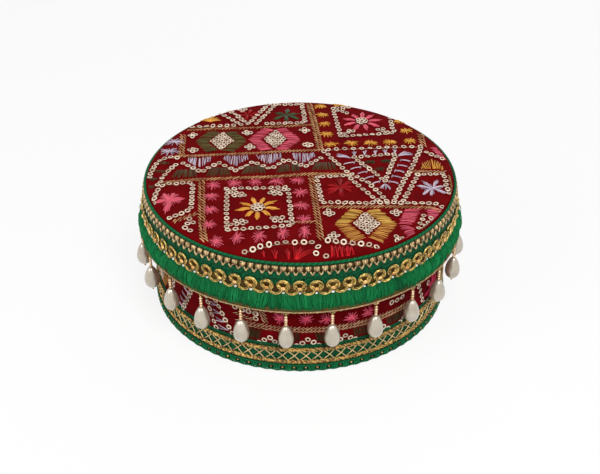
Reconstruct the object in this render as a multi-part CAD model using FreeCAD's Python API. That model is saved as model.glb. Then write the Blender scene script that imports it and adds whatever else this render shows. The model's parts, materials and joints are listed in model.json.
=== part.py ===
import FreeCAD, Part
import math
import os

# Round sweet box: a cloth-covered board drum with a telescoping lid, trims, a fringe and hanging pearl drops.
# Millimetres, +Z up, origin at the centre of the underside, front towards -Y.

Vector = FreeCAD.Vector

# Base drum
base_radius = 86.4          # outside of the wall cloth
base_rim_height = 70.9      # top of the rim, where the lid sits
base_cloth = 0.8
base_board = 2.4
base_lining = 0.8
floor_board = 3.0
floor_pad = 1.5
underside_sheet = 0.8
underside_margin = 2.4      # the sheet stops this far inside the wall
rim_flap = 11.0             # cloth turned over the rim and down inside
hem = 9.0                   # cloth turned under the floor
rim_round = 0.7             # soft outer edge of the rim

# Foot trims
foot_ribbon = 0.4
foot_ribbon_bottom = 1.0
foot_ribbon_top = 18.5
lace_cord_low = 5.2
lace_cord_low_height = 2.6
lace_cord_high = 13.5
lace_cord_high_height = 2.9
lace_cord = 1.1
lattice = 0.6
lattice_strand = 0.85
lattice_count = 84
gimp = 1.6
gimp_bottom = 0.5
gimp_height = 4.6
gimp_round = 0.5
gimp_dot = 0.7              # radius of the gold dots along the gimp
gimp_dot_height = 0.45
gimp_dot_rise = 2.8         # their middle above the gimp's lower edge
gimp_dot_count = 86

# Lid drum
lid_clearance = 0.4         # sliding room between the lid and the base wall
lid_lining = 0.3
lid_board = 1.5
lid_top_board = 2.5
lid_cloth = 0.6
lid_depth = 26.0            # how far the rim reaches down over the base
pad_height = 2.8
pad_crown = 0.35
pad_round = 1.1
dome_middle = 0.75          # share of the crown left half way out

# Lid trims
ribbon_below = 3.2          # the ribbon's top edge below the padded edge
piping = 0.75               # radius of the piping cord
piping_rise = 0.1           # straight part of its flattened section
piping_sides = 12
ribbon = 0.4
ribbon_lean = 1.95          # how far the ribbon leans out over the fringe heading
ribbon_slope_height = 5.4
ribbon_height = 16.9
chain = 0.9
chain_count = 132
chain_start = 0.5           # plain edge of the ribbon above the chain
chain_block_height = 3.7
chain_foot_height = 1.5
chain_gap = 0.9
braid = 1.5                 # two layers of cord
braid_count = 67
braid_drop = 11.3           # middle of its upper loops below the ribbon's top edge
braid_step = 2.4            # lower loops below the upper ones
braid_gap = 2.1             # between neighbouring loops of a row
braid_cord = 0.8
braid_bead_gap = 0.3        # between a loop and the bead in its eye
braid_bead_share = 0.4      # radius of the bead as a share of the eye
valley_bead = 0.65
valley_bead_drop = 4.9      # below the middle of the upper loops
heading_height = 10.8
fringe_drop = 8.7
fringe_swell = 3.4
fringe_round = 0.8

# Pearl lace
tape = 0.7
tape_heading_height = 9.0
tape_drop = 7.7
tape_edge_rise = 1.8        # the tape's edge above the lid's lower edge
pearl_count = 24
pearl_phase = -4.5          # degrees from the front to the nearest drop
hang_reach = 5.3            # the drops hang this far out from the rim's cloth
loop_thread = 0.35          # radius of the thread loop
loop_drop = 1.2
eye_wall = 0.45
eye_width = 1.2
eye_clearance = 0.05
side_clearance = 0.3
pin = 0.3                   # radius of the wire
pin_head = 0.55
pin_head_height = 0.4
bead_bore_clearance = 0.05
seed_bead = 0.95
seed_bead_height = 1.65
seed_bead_count = 4
seed_start = 1.3            # first seed bead below the eye's axis
end_bead = 0.85
end_bead_height = 1.5
pearl_width = 8.8
pearl_length = 14.0
pearl_widest = 0.40         # height of the widest place, as a share of the length
pearl_tip = 0.9             # radius of the flat round the bore
pearl_shoulder = 0.72       # half width above the widest place, as a share of the full one
pearl_shoulder_rise = 0.04  # raised past the middle of the upper part by this share of the length
pearl_foot = 0.74           # half width near the foot, as a share of the full one
pearl_foot_rise = 0.11      # level of that place, as a share of the length

glue = 0.05                 # bond line between wrapped layers

# Levels and radii that follow from the sizes above
hem_level = underside_sheet
floor_level = hem_level + base_cloth
wall_level = floor_level + floor_board
wall_top = base_rim_height - base_cloth
wall_outer = base_radius - base_cloth
wall_inner = wall_outer - base_board
lining_inner = wall_inner - base_lining
flap_level = wall_top - rim_flap

lid_inner = base_radius + lid_clearance
rim_inner = lid_inner + lid_lining
rim_outer = rim_inner + lid_board
skirt_outer = rim_outer + lid_cloth
skirt_bottom = base_rim_height - lid_depth
rim_bottom = skirt_bottom + lid_cloth
top_board_level = base_rim_height + lid_lining
pad_level = top_board_level + lid_top_board
pad_edge = pad_level + pad_height

ribbon_top = pad_edge + lid_cloth - ribbon_below
ribbon_inner_top = skirt_outer + glue
ribbon_inner = ribbon_inner_top + ribbon_lean
ribbon_outer = ribbon_inner + ribbon
ribbon_knee = ribbon_top - ribbon_slope_height
ribbon_bottom = ribbon_top - ribbon_height
tape_outer = skirt_outer + glue + tape
tape_bottom = skirt_bottom + tape_edge_rise
tape_bend = tape_bottom + tape_drop
hang_radius = skirt_outer + hang_reach
tape_lean = hang_radius + tape / 2 - tape_outer
heading_inner = tape_outer + glue
heading_outer = ribbon_inner - glue
eye_level = tape_bottom - loop_drop
eye_bore = loop_thread + eye_clearance
eye_outer = eye_bore + eye_wall


def point(r, z):
    return Vector(r, 0, z)


def line(a, b):
    return Part.LineSegment(a, b).toShape()


def polygon(points):
    return Part.Face(Part.makePolygon(points + points[:1]))


def turned(face):
    # A section in the XZ plane turned once round the Z axis
    return face.revolve(Vector(0, 0, 0), Vector(0, 0, 1), 360)


def turned_points(*pairs):
    return turned(polygon([point(r, z) for r, z in pairs]))


def tube(inner, outer, low, high):
    return turned_points((inner, low), (outer, low), (outer, high), (inner, high))


def disc(radius, low, high):
    return Part.makeCylinder(radius, high - low, Vector(0, 0, low))


def rounded_band(inner, outer, low, high, edge):
    # A tube whose two outer edges are quarter rounds
    turn = edge * (1 - math.sqrt(0.5))
    a = point(inner, low)
    b = point(outer - edge, low)
    c = point(outer, low + edge)
    d = point(outer, high - edge)
    e = point(outer - edge, high)
    f = point(inner, high)
    low_arc = Part.Arc(b, point(outer - turn, low + turn), c).toShape()
    high_arc = Part.Arc(d, point(outer - turn, high - turn), e).toShape()
    return turned(Part.Face(Part.Wire([line(a, b), low_arc, line(c, d), high_arc, line(e, f), line(f, a)])))


def stud(radius, seat, level, height):
    # A short round solid standing out from the front of the drum
    return Part.makeCylinder(radius, height, Vector(0, -seat, level), Vector(0, -1, 0))


def repeated(shape, count, phase=0.0):
    # Copies of a shape spaced evenly round the Z axis
    copies = []
    for index in range(count):
        copy = shape.copy()
        copy.rotate(Vector(0, 0, 0), Vector(0, 0, 1), phase + 360.0 * index / count)
        copies.append(copy)
    return copies


def group(solids):
    return Part.makeCompound(solids)


def base_wall_cloth():
    # Wraps the wall outside, turns over the rim into a flap and under the floor into a hem
    turn = rim_round * (1 - math.sqrt(0.5))
    corner_low = point(base_radius, base_rim_height - rim_round)
    corner_mid = point(base_radius - turn, base_rim_height - turn)
    corner_high = point(base_radius - rim_round, base_rim_height)
    hem_inner = base_radius - hem
    after = [
        corner_high,
        point(lining_inner, base_rim_height),
        point(lining_inner, flap_level),
        point(wall_inner - glue, flap_level),
        point(wall_inner - glue, wall_top),
        point(wall_outer + glue, wall_top),
        point(wall_outer + glue, floor_level),
        point(hem_inner, floor_level),
        point(hem_inner, hem_level),
        point(base_radius, hem_level),
        corner_low,
    ]
    edges = [line(a, b) for a, b in zip(after, after[1:])]
    edges.append(Part.Arc(corner_low, corner_mid, corner_high).toShape())
    return turned(Part.Face(Part.Wire(edges)))


def gold_lattice(inner):
    # Crossed strands between the two cords: openings are cut between the strands of a thin band
    outer = inner + lattice
    low = lace_cord_low + lace_cord_low_height
    high = lace_cord_high
    height = high - low
    pitch = 2 * math.pi * outer / lattice_count
    half = lattice_strand / 2 * math.hypot(pitch, height)
    side = half / height
    rise = half / pitch
    middle = (low + high) / 2
    openings = [
        [(0, low + 2 * rise), (pitch / 2 - side, middle), (0, high - 2 * rise), (side - pitch / 2, middle)],
        [(side, high), (pitch - side, high), (pitch / 2, middle + rise)],
        [(side, low), (pitch - side, low), (pitch / 2, middle - rise)],
    ]
    cutters = []
    for corners in openings:
        face = polygon([Vector(x, -outer - lattice, z) for x, z in corners])
        cutters.append(face.extrude(Vector(0, 3 * lattice, 0)))
    cutters = [copy for cutter in cutters for copy in repeated(cutter, lattice_count)]
    return tube(inner, outer, low, high).cut(group(cutters))


def base_gold_lace():
    inner = base_radius + foot_ribbon + 2 * glue
    outer = inner + lace_cord
    cord_low = rounded_band(inner, outer, lace_cord_low, lace_cord_low + lace_cord_low_height, lace_cord / 2)
    cord_high = rounded_band(inner, outer, lace_cord_high, lace_cord_high + lace_cord_high_height, lace_cord / 2)
    return group([cord_low, cord_high, gold_lattice(inner)])


def base_gimp_dots():
    seat = base_radius + foot_ribbon + 3 * glue + gimp
    dot = stud(gimp_dot, seat, gimp_bottom + gimp_dot_rise, gimp_dot_height)
    return group(repeated(dot, gimp_dot_count))


def crowned_top(outer, side_low, edge_level, crown, edge):
    # Upper outline of the padded panel, from the axis out to the foot of its side
    turn = edge * (1 - math.sqrt(0.5))
    shoulder = point(outer - edge, edge_level)
    rise = point((outer - edge) / 2, edge_level + crown * dome_middle)
    dome = Part.Arc(point(0, edge_level + crown), rise, shoulder).toShape()
    corner = Part.Arc(shoulder, point(outer - turn, edge_level - turn), point(outer, edge_level - edge)).toShape()
    return [dome, corner, line(point(outer, edge_level - edge), point(outer, side_low))]


def lid_top_padding():
    edges = crowned_top(rim_outer, pad_level, pad_edge, pad_crown, pad_round)
    edges.append(line(point(rim_outer, pad_level), point(0, pad_level)))
    edges.append(line(point(0, pad_level), point(0, pad_edge + pad_crown)))
    return turned(Part.Face(Part.Wire(edges)))


def lid_top_cloth():
    # Covers the padding and runs down the rim, turned under its lower edge
    outside = crowned_top(skirt_outer, skirt_bottom, pad_edge + lid_cloth, pad_crown, pad_round + lid_cloth)
    inside = crowned_top(rim_outer + glue, rim_bottom, pad_edge + glue, pad_crown, pad_round)
    corners = [
        point(skirt_outer, skirt_bottom),
        point(rim_inner, skirt_bottom),
        point(rim_inner, rim_bottom),
        point(rim_outer + glue, rim_bottom),
    ]
    edges = outside + [line(a, b) for a, b in zip(corners, corners[1:])] + inside
    edges.append(line(point(0, pad_edge + glue + pad_crown), point(0, pad_edge + lid_cloth + pad_crown)))
    return turned(Part.Face(Part.Wire(Part.sortEdges(edges)[0])))


def lid_edge_piping():
    # A flattened cord lying against the padded edge on top of the ribbon, its section a many-sided oval
    middle = skirt_outer + glue + piping
    low = ribbon_top + piping + glue
    section = []
    for side in range(piping_sides):
        angle = 2 * math.pi * (side + 0.5) / piping_sides
        lift = piping_rise if math.sin(angle) > 0 else 0.0
        section.append((middle + piping * math.cos(angle), low + lift + piping * math.sin(angle)))
    return turned_points(*section)


def lid_rim_ribbon():
    return turned_points(
        (ribbon_inner_top, ribbon_top),
        (ribbon_inner, ribbon_knee),
        (ribbon_inner, ribbon_bottom),
        (ribbon_outer, ribbon_bottom),
        (ribbon_outer, ribbon_knee),
        (ribbon_inner_top + ribbon, ribbon_top),
    )


def lid_gold_chain():
    # Upright blocks on the leaning part of the ribbon, each with two spread feet that meet the next block's
    angle = math.atan2(ribbon_lean, ribbon_slope_height)
    seat = ribbon_outer - ribbon_lean + glue / math.cos(angle)
    pitch = 2 * math.pi * seat / chain_count
    half = (pitch - chain_gap) / 2
    foot = pitch / 2 - glue
    top = chain_start
    knee = top + chain_block_height
    sole = knee + chain_foot_height
    crotch = knee + chain_foot_height / 3
    outline = [(-half, top), (half, top), (half, knee), (foot, sole), (half / 2, sole), (0, crotch)]
    outline += [(-half / 2, sole), (-foot, sole), (-half, knee)]
    slope = Vector(0, -math.sin(angle), -math.cos(angle))
    outward = Vector(0, -math.cos(angle), math.sin(angle))
    corner = Vector(0, -seat, ribbon_top)
    block = polygon([corner + Vector(x, 0, 0) + slope * down for x, down in outline]).extrude(outward * chain)
    return group(repeated(block, chain_count))


def lid_scallop_braid():
    # Two rows of cord loops half a pitch apart, the upper row over the lower, with a flat bead in each upper eye
    seat = ribbon_outer + glue
    level = ribbon_top - braid_drop
    layer = (braid - glue) / 2
    loop = (2 * math.pi * seat / braid_count - braid_gap) / 2
    eye = loop - braid_cord
    bead = eye * braid_bead_share
    bead_level = level - eye + bead + braid_bead_gap
    low_level = level - braid_step
    front = seat + layer + glue
    upper = stud(loop, front, level, layer).cut(stud(eye, front, level, layer))
    lower = stud(loop, seat, low_level, layer).cut(stud(eye, seat, low_level, layer))
    half_pitch = 180.0 / braid_count
    rows = repeated(upper, braid_count) + repeated(lower, braid_count, half_pitch)
    return group(rows + repeated(stud(bead, seat, bead_level, braid), braid_count))


def lid_braid_beads():
    # A small bead in each valley between the lower loops
    level = ribbon_top - braid_drop - valley_bead_drop
    return group(repeated(stud(valley_bead, ribbon_outer + glue, level, braid), braid_count))


def tape_outer_at(level):
    return tape_outer + tape_lean * (tape_bend - level) / tape_drop


def lid_fringe():
    # A heading under the ribbon and a swelling skirt of cut yarn over the pearl tape
    heading_top = ribbon_bottom + heading_height
    bottom = ribbon_bottom - fringe_drop
    skirt_radius = ribbon_outer + fringe_swell
    a = point(heading_inner, tape_bend)
    b = point(heading_inner, heading_top)
    c = point(heading_outer, heading_top)
    d = point(heading_outer, ribbon_bottom - glue)
    e = point(ribbon_outer, ribbon_bottom - glue)
    f = point(skirt_radius, bottom + fringe_drop / 2)
    g = point(skirt_radius, bottom + fringe_round)
    h = point(skirt_radius - fringe_round, bottom)
    i = point(tape_outer_at(bottom) + glue * 2, bottom)
    turn = fringe_round * (1 - math.sqrt(0.5))
    swell = point((e.x + f.x) / 2 + fringe_swell / 5, (e.z + f.z) / 2 + fringe_swell / 5)
    edges = [
        line(a, b),
        line(b, c),
        line(c, d),
        line(d, e),
        Part.Arc(e, swell, f).toShape(),
        line(f, g),
        Part.Arc(g, point(skirt_radius - turn, bottom + turn), h).toShape(),
        line(h, i),
        line(i, a),
    ]
    return turned(Part.Face(Part.Wire(edges)))


def lid_pearl_tape():
    # A narrow tape glued to the rim that flares out under the fringe and carries the pearl loops
    inner = tape_outer - tape
    heading_top = tape_bend + tape_heading_height
    return turned_points(
        (inner, heading_top),
        (inner, tape_bend),
        (inner + tape_lean, tape_bottom),
        (tape_outer + tape_lean, tape_bottom),
        (tape_outer, tape_bend),
        (tape_outer, heading_top),
    )


def pearl_loops():
    # A stirrup of thread under the tape's edge for each drop
    reach = eye_width / 2 + side_clearance + loop_thread
    bar = Part.makeCylinder(loop_thread, 2 * reach, Vector(-reach, -hang_radius, eye_level), Vector(1, 0, 0))
    loop = bar
    for side in (-reach, reach):
        corner = Vector(side, -hang_radius, eye_level)
        loop = loop.fuse(Part.makeSphere(loop_thread, corner))
        loop = loop.fuse(Part.makeCylinder(loop_thread, loop_drop, corner))
    return group(repeated(loop.removeSplitter(), pearl_count, pearl_phase))


def strung_bead(radius, low, height, neck):
    # A bead turned from an arc, flat round its bore so that a row of beads sits face to face
    bore = pin + bead_bore_clearance
    high = low + height
    bulge = Part.Arc(point(neck, low), point(radius, low + height / 2), point(neck, high)).toShape()
    sides = [point(neck, high), point(bore, high), point(bore, low), point(neck, low)]
    edges = [bulge] + [line(a, b) for a, b in zip(sides, sides[1:])]
    return turned(Part.Face(Part.Wire(edges)))


def drop_pearl(low):
    # A teardrop: a smooth outline from the tip through the widest place to the rounded foot
    bore = pin + bead_bore_clearance
    high = low + pearl_length
    radius = pearl_width / 2
    widest = low + pearl_length * pearl_widest
    outline = Part.BSplineCurve()
    outline.interpolate([
        point(pearl_tip, high),
        point(radius * pearl_shoulder, (high + widest) / 2 + pearl_length * pearl_shoulder_rise),
        point(radius, widest),
        point(radius * pearl_foot, low + pearl_length * pearl_foot_rise),
        point(pearl_tip, low),
    ])
    sides = [point(pearl_tip, low), point(bore, low), point(bore, high), point(pearl_tip, high)]
    edges = [outline.toShape()] + [line(a, b) for a, b in zip(sides, sides[1:])]
    return turned(Part.Face(Part.Wire(edges)))


def pearl_drop():
    # A wire pin with an eye, strung with seed beads, the pearl and an end bead on its head
    seeds_top = eye_level - seed_start
    pearl_top = seeds_top - seed_bead_count * seed_bead_height
    pearl_low = pearl_top - pearl_length
    end_low = pearl_low - end_bead_height
    neck = pin + bead_bore_clearance + eye_clearance + side_clearance / 2
    eye_start = Vector(-eye_width / 2, 0, eye_level)
    eye = Part.makeCylinder(eye_outer, eye_width, eye_start, Vector(1, 0, 0))
    shank = Part.makeCylinder(pin, eye_level - end_low, Vector(0, 0, end_low))
    head = Part.makeCylinder(pin_head, pin_head_height, Vector(0, 0, end_low - pin_head_height))
    wire = eye.fuse([shank, head])
    wire = wire.cut(Part.makeCylinder(eye_bore, eye_width, eye_start, Vector(1, 0, 0)))
    solids = [wire.removeSplitter()]
    for index in range(seed_bead_count):
        solids.append(strung_bead(seed_bead, seeds_top - (index + 1) * seed_bead_height, seed_bead_height, neck))
    solids.append(drop_pearl(pearl_low))
    solids.append(strung_bead(end_bead, end_low, end_bead_height, neck))
    drop = group(solids)
    drop.translate(Vector(0, -hang_radius, 0))
    return drop


def base_nodes():
    sheet_radius = base_radius - underside_margin
    ribbon_inner_radius = base_radius + glue
    gimp_inner = base_radius + foot_ribbon + 2 * glue
    return {
        "base_underside_sheet": disc(sheet_radius, 0, underside_sheet),
        "base_floor_board": disc(wall_outer, floor_level, wall_level),
        "base_wall_board": tube(wall_inner, wall_outer, wall_level, wall_top),
        "base_wall_cloth": base_wall_cloth(),
        "base_wall_lining": tube(lining_inner, wall_inner - glue, wall_level, flap_level),
        "base_floor_pad": disc(lining_inner - glue, wall_level, wall_level + floor_pad),
        "base_foot_ribbon": tube(ribbon_inner_radius, ribbon_inner_radius + foot_ribbon,
                                 foot_ribbon_bottom, foot_ribbon_top),
        "base_gold_lace": base_gold_lace(),
        "base_foot_gimp": rounded_band(gimp_inner, gimp_inner + gimp, gimp_bottom,
                                       gimp_bottom + gimp_height, gimp_round),
        "base_gimp_dots": base_gimp_dots(),
    }


def lid_nodes():
    return {
        "lid_top_lining": disc(rim_inner - glue, base_rim_height, top_board_level),
        "lid_rim_lining": tube(lid_inner, rim_inner - glue, skirt_bottom, base_rim_height),
        "lid_rim_board": tube(rim_inner, rim_outer, rim_bottom, top_board_level),
        "lid_top_board": disc(rim_outer, top_board_level, pad_level),
        "lid_top_padding": lid_top_padding(),
        "lid_top_cloth": lid_top_cloth(),
        "lid_edge_piping": lid_edge_piping(),
        "lid_rim_ribbon": lid_rim_ribbon(),
        "lid_gold_chain": lid_gold_chain(),
        "lid_scallop_braid": lid_scallop_braid(),
        "lid_braid_beads": lid_braid_beads(),
        "lid_fringe": lid_fringe(),
        "lid_pearl_tape": lid_pearl_tape(),
        "lid_pearl_loops": pearl_loops(),
    }


def pearl_nodes():
    drops = repeated(pearl_drop(), pearl_count, pearl_phase)
    return {f"pearl_drop_{index + 1:02d}": drop for index, drop in enumerate(drops)}


os.makedirs("parts", exist_ok=True)
for node, shape in {**base_nodes(), **lid_nodes(), **pearl_nodes()}.items():
    shape.exportStep(f"parts/{node}.step")
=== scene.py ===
import json
import bpy
import numpy as np
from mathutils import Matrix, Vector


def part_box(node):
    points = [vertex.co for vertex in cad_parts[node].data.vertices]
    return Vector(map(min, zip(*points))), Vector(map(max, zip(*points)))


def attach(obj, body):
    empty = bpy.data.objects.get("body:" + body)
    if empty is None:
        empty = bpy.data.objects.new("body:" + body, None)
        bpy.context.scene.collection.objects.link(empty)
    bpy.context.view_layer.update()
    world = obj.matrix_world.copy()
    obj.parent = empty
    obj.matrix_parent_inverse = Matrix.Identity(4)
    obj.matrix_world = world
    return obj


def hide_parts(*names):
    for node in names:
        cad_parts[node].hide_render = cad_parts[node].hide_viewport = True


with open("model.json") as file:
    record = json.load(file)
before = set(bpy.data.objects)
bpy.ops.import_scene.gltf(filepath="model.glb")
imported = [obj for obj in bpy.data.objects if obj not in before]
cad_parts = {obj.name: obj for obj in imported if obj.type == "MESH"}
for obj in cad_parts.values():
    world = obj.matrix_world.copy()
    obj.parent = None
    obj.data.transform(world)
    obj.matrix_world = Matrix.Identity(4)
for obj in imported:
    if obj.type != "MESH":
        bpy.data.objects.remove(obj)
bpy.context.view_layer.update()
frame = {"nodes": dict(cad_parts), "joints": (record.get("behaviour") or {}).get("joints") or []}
tau = 2 * np.pi
dice = np.random.default_rng(11)
print("frame loaded:", len(frame["nodes"]), "nodes")


def linearOf(code):
    # screen colour "#rrggbb" as linear red, green, blue
    parts = np.array([int(code[i:i + 2], 16) for i in (1, 3, 5)]) / 255
    return [float(x) for x in np.where(parts <= 0.04045, parts / 12.92, ((parts + 0.055) / 1.055) ** 2.4)]


def ringOf(node):
    # outer radius, lowest and highest level of a round node, in millimetres
    low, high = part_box(node)
    return 1000 * (high[0] - low[0]) / 2, 1000 * low[2], 1000 * high[2]


class Sock:
    # a node's output that takes part in Python sums, each operator adding a Math node
    def __init__(self, nodes, socket):
        self.nodes = nodes
        self.socket = socket

    def sum(self, operation, first, second):
        return self.nodes.node("ShaderNodeMath", {"operation": operation}, {0: first, 1: second})

    def __add__(self, other):
        return self.sum("ADD", self, other)

    def __sub__(self, other):
        return self.sum("SUBTRACT", self, other)

    def __rsub__(self, other):
        return self.sum("SUBTRACT", other, self)

    def __mul__(self, other):
        return self.sum("MULTIPLY", self, other)

    __radd__ = __add__
    __rmul__ = __mul__


class Nodes:
    # a node tree in the making: node() adds any node, with values or links for its sockets
    def __init__(self, tree):
        self.tree = tree

    def node(self, kind, settings, sockets, output=0):
        made = self.tree.nodes.new(kind)
        for key, value in settings.items():
            setattr(made, key, value)
        for key, value in sockets.items():
            if isinstance(value, Sock):
                self.tree.links.new(value.socket, made.inputs[key])
            else:
                made.inputs[key].default_value = value
        return Sock(self, made.outputs[output])

    def shownRays(self):
        # 1 for what the camera sees straight, in metal or through glass, else 0
        rays = ("Is Camera Ray", "Is Glossy Ray", "Is Transmission Ray")
        return sum(self.node("ShaderNodeLightPath", {}, {}, ray) for ray in rays)

    def finish(self, output, shader):
        self.tree.links.new(shader.socket, self.tree.nodes[output].inputs["Surface"])


class Paint(Nodes):
    # a material in the making: put() feeds its shader, bump() feeds the shader's normal
    def __init__(self, name, constants):
        self.material = bpy.data.materials.new(name)
        self.material.use_nodes = True
        super().__init__(self.material.node_tree)
        self.shader = self.tree.nodes["Principled BSDF"]
        for key, value in constants.items():
            self.shader.inputs[key].default_value = value

    def put(self, name, value):
        self.tree.links.new(value.socket, self.shader.inputs[name])

    def attribute(self, name):
        return self.node("ShaderNodeAttribute", {"attribute_name": name}, {}, "Fac")

    def place(self):
        return self.node("ShaderNodeTexCoord", {}, {}, "Object")

    def flatPlace(self):
        # the piece's own flat map, in millimetres along the cloth
        return self.node("ShaderNodeUVMap", {"uv_map": "flat"}, {})

    def stretched(self, place, scale):
        return self.node("ShaderNodeMapping", {}, {"Vector": place, "Scale": scale})

    def noise(self, place, scale, detail=3.0):
        return self.node("ShaderNodeTexNoise", {}, {"Vector": place, "Scale": scale, "Detail": detail})

    def ribs(self, place, scale, direction="X"):
        settings = {"wave_type": "BANDS", "bands_direction": direction}
        return self.node("ShaderNodeTexWave", settings, {"Vector": place, "Scale": scale}, "Fac")

    def between(self, share, dark, light):
        # a colour that runs from dark to light as share goes from 0 to 1
        settings = {"data_type": "RGBA", "clamp_factor": True}
        ends = {0: share, 6: linearOf(dark) + [1], 7: linearOf(light) + [1]}
        return self.node("ShaderNodeMix", settings, ends, 2)

    def bump(self, height, strength, distance):
        sockets = {"Height": height, "Strength": strength, "Distance": distance}
        self.put("Normal", self.node("ShaderNodeBump", {}, sockets))


# finishes

def clothPaint(name, dark, light, threads):
    # plain weave: two crossed rows of ribs, with slow changes of shade like pressed cotton
    paint = Paint(name, {"Roughness": 0.85, "Specular IOR Level": 0.03})
    flat = paint.flatPlace()
    warp = paint.ribs(flat, threads)
    weft = paint.ribs(flat, threads, "Y")
    cloud = paint.noise(flat, 0.09, 4.0)
    paint.put("Base Color", paint.between(cloud * 1.3 - 0.25 + warp * weft * 0.25, dark, light))
    paint.bump(warp * 0.5 + weft * 0.5 + cloud * 0.6, 0.35, 0.0002)
    return paint.material


def threadPaint(name, dark, light, gloss=0.5):
    # twisted yarn: fibre streaks along the stitch, each stitch with its own shade
    paint = Paint(name, {"Roughness": gloss, "Specular IOR Level": 0.1})
    fibre = paint.noise(paint.stretched(paint.flatPlace(), (9.0, 0.35, 1.0)), 1.0)
    shade = paint.attribute("tone") * 0.75 + fibre * 0.55 - 0.15
    paint.put("Base Color", paint.between(shade, dark, light))
    paint.bump(fibre, 0.3, 0.0002)
    return paint.material


def ribbonPaint(name, dark, light):
    # knitted ribbon: fine slanting rows both ways, with darker spots where the ground shows
    paint = Paint(name, {"Roughness": 0.6, "Specular IOR Level": 0.1})
    flat = paint.flatPlace()
    mirrored = paint.stretched(flat, (-1.0, 1.0, 1.0))
    rows = paint.ribs(flat, 0.9, "DIAGONAL") * paint.ribs(mirrored, 0.9, "DIAGONAL")
    spots = paint.noise(flat, 0.8, 2.0)
    paint.put("Base Color", paint.between(rows * 0.9 + spots * 2.4 - 1.05, dark, light))
    paint.bump(rows + spots * 0.4, 0.5, 0.0003)
    return paint.material


def metalPaint(name, dark, light, metallic, rough, grain=0.6):
    # metal thread or foil: a worn shine, each unit with its own shade; grain is how speckled it is
    paint = Paint(name, {"Metallic": metallic, "Specular IOR Level": 0.6})
    speck = paint.noise(paint.place(), 900.0)
    shade = paint.attribute("tone") * 0.8 + speck * grain + (0.05 - grain / 2)
    paint.put("Base Color", paint.between(shade, dark, light))
    paint.put("Roughness", rough + speck * 0.2)
    paint.bump(speck, 0.25, 0.0001)
    return paint.material


def pearlPaint():
    # nacre over plastic: cloudy ivory under a hard clear coat
    coat = {"Coat Weight": 1.0, "Coat Roughness": 0.12, "Coat IOR": 2.2}
    paint = Paint("pearlNacre", {"Metallic": 0.5, "Specular IOR Level": 0.5, **coat})
    cloud = paint.noise(paint.place(), 160.0, 4.0)
    paint.put("Base Color", paint.between(cloud, "#8f8068", "#cbbfab"))
    paint.put("Roughness", 0.26 + cloud * 0.16)
    return paint.material


def boardPaint():
    # grey board: fibres and specks
    paint = Paint("greyBoard", {"Roughness": 0.9})
    fibre = paint.noise(paint.place(), 420.0, 6.0)
    paint.put("Base Color", paint.between(fibre, "#8d7a5f", "#b8a484"))
    paint.bump(fibre, 0.3, 0.0002)
    return paint.material


# dark and light shade of each embroidery yarn
yarns = {
    "pink": ("#9c293c", "#f57184"), "rose": ("#8c2034", "#e4687c"), "yellow": ("#a86614", "#f0b450"),
    "mustard": ("#8c5c14", "#f0c262"), "amber": ("#93551a", "#e6aa56"), "lavender": ("#877890", "#e2d3df"),
    "olive": ("#2a1d0c", "#574522"), "bark": ("#1c1408", "#46381a"), "moss": ("#3c3116", "#665c34"),
    "leaf": ("#1a2413", "#36432a"), "fern": ("#1f3019", "#445c3c"), "garnet": ("#6c0406", "#a41016"),
    # hotPink: the wall's stars, partly their own brighter pink and partly painted light against the shade
    # under the lid
    "cerise": ("#8c0c2c", "#e43a62"), "hotPink": ("#b02848", "#ff7088"), "red": ("#8c070c", "#e0242c"),
    # pale: the wall's couching, partly its own paler colour and partly painted light against the shade under
    # the lid
    "crimson": ("#660408", "#b01118"), "couch": ("#7c4a26", "#e6b880", 0.45), "pale": ("#8c6644", "#e6c29a"),
    "tack": ("#8a6a44", "#d3b68a"), "tape": ("#5a3c1c", "#ac8450"),
}
finishes = {name: threadPaint(name + "Thread", *shades) for name, shades in yarns.items()}
finishes.update({
    "maroon": clothPaint("maroonCloth", "#540205", "#7c060a", 3.4),
    # the lid's cloth painted darker for the wall, as painted shade under the lid's overhang
    "maroonWall": clothPaint("maroonWall", "#480205", "#74050b", 3.4),
    "lining": clothPaint("satinLining", "#560a10", "#881a22", 1.9),
    "felt": clothPaint("feltSheet", "#3d0d12", "#561820", 1.2),
    "wadding": clothPaint("wadding", "#cfccc2", "#ece9e0", 0.8),
    "sequin": metalPaint("sequinFoil", "#7c4a28", "#f6e3ca", 0.12, 0.2),
    "greenCord": threadPaint("greenCord", "#01351d", "#117646"),
    "greenTape": ribbonPaint("greenTape", "#011c10", "#0d6c40"),
    "greenYarn": threadPaint("greenYarn", "#012c15", "#1d9654"),
    "greenShade": threadPaint("greenShade", "#00160b", "#03301b"),
    "roseGold": metalPaint("roseGoldThread", "#4e3212", "#e8c890", 0.5, 0.24, 2.0),
    "gold": metalPaint("goldThread", "#341c03", "#eeca70", 0.6, 0.16, 1.4),
    "lace": metalPaint("laceThread", "#44240a", "#dcb460", 0.5, 0.2, 1.6),
    "goldPlate": metalPaint("goldPlate", "#b4742a", "#ffd68a", 0.5, 0.16),
    "edge": finishes["tack"],
    "bronze": threadPaint("bronzeWeave", "#2c1f07", "#563d12"),
    # a dark sheet behind the gold chain, as painted shadow in its gaps
    "darkWeave": threadPaint("darkWeave", "#2a2009", "#4a3a16"),
    "seedBead": metalPaint("seedBead", "#a87a4e", "#f0d3ab", 0.5, 0.15),
    "whiteBead": metalPaint("whiteBead", "#c8c6c0", "#ffffff", 0.0, 0.1),
    "pearl": pearlPaint(),
    "board": boardPaint(),
})
# a table giving the green finishes the green_trim slot, built and not kept
dict.fromkeys(("greenCord", "greenTape", "greenYarn", "greenShade"), "green_trim")
print("finishes:", len(finishes))


# mesh making

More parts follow.
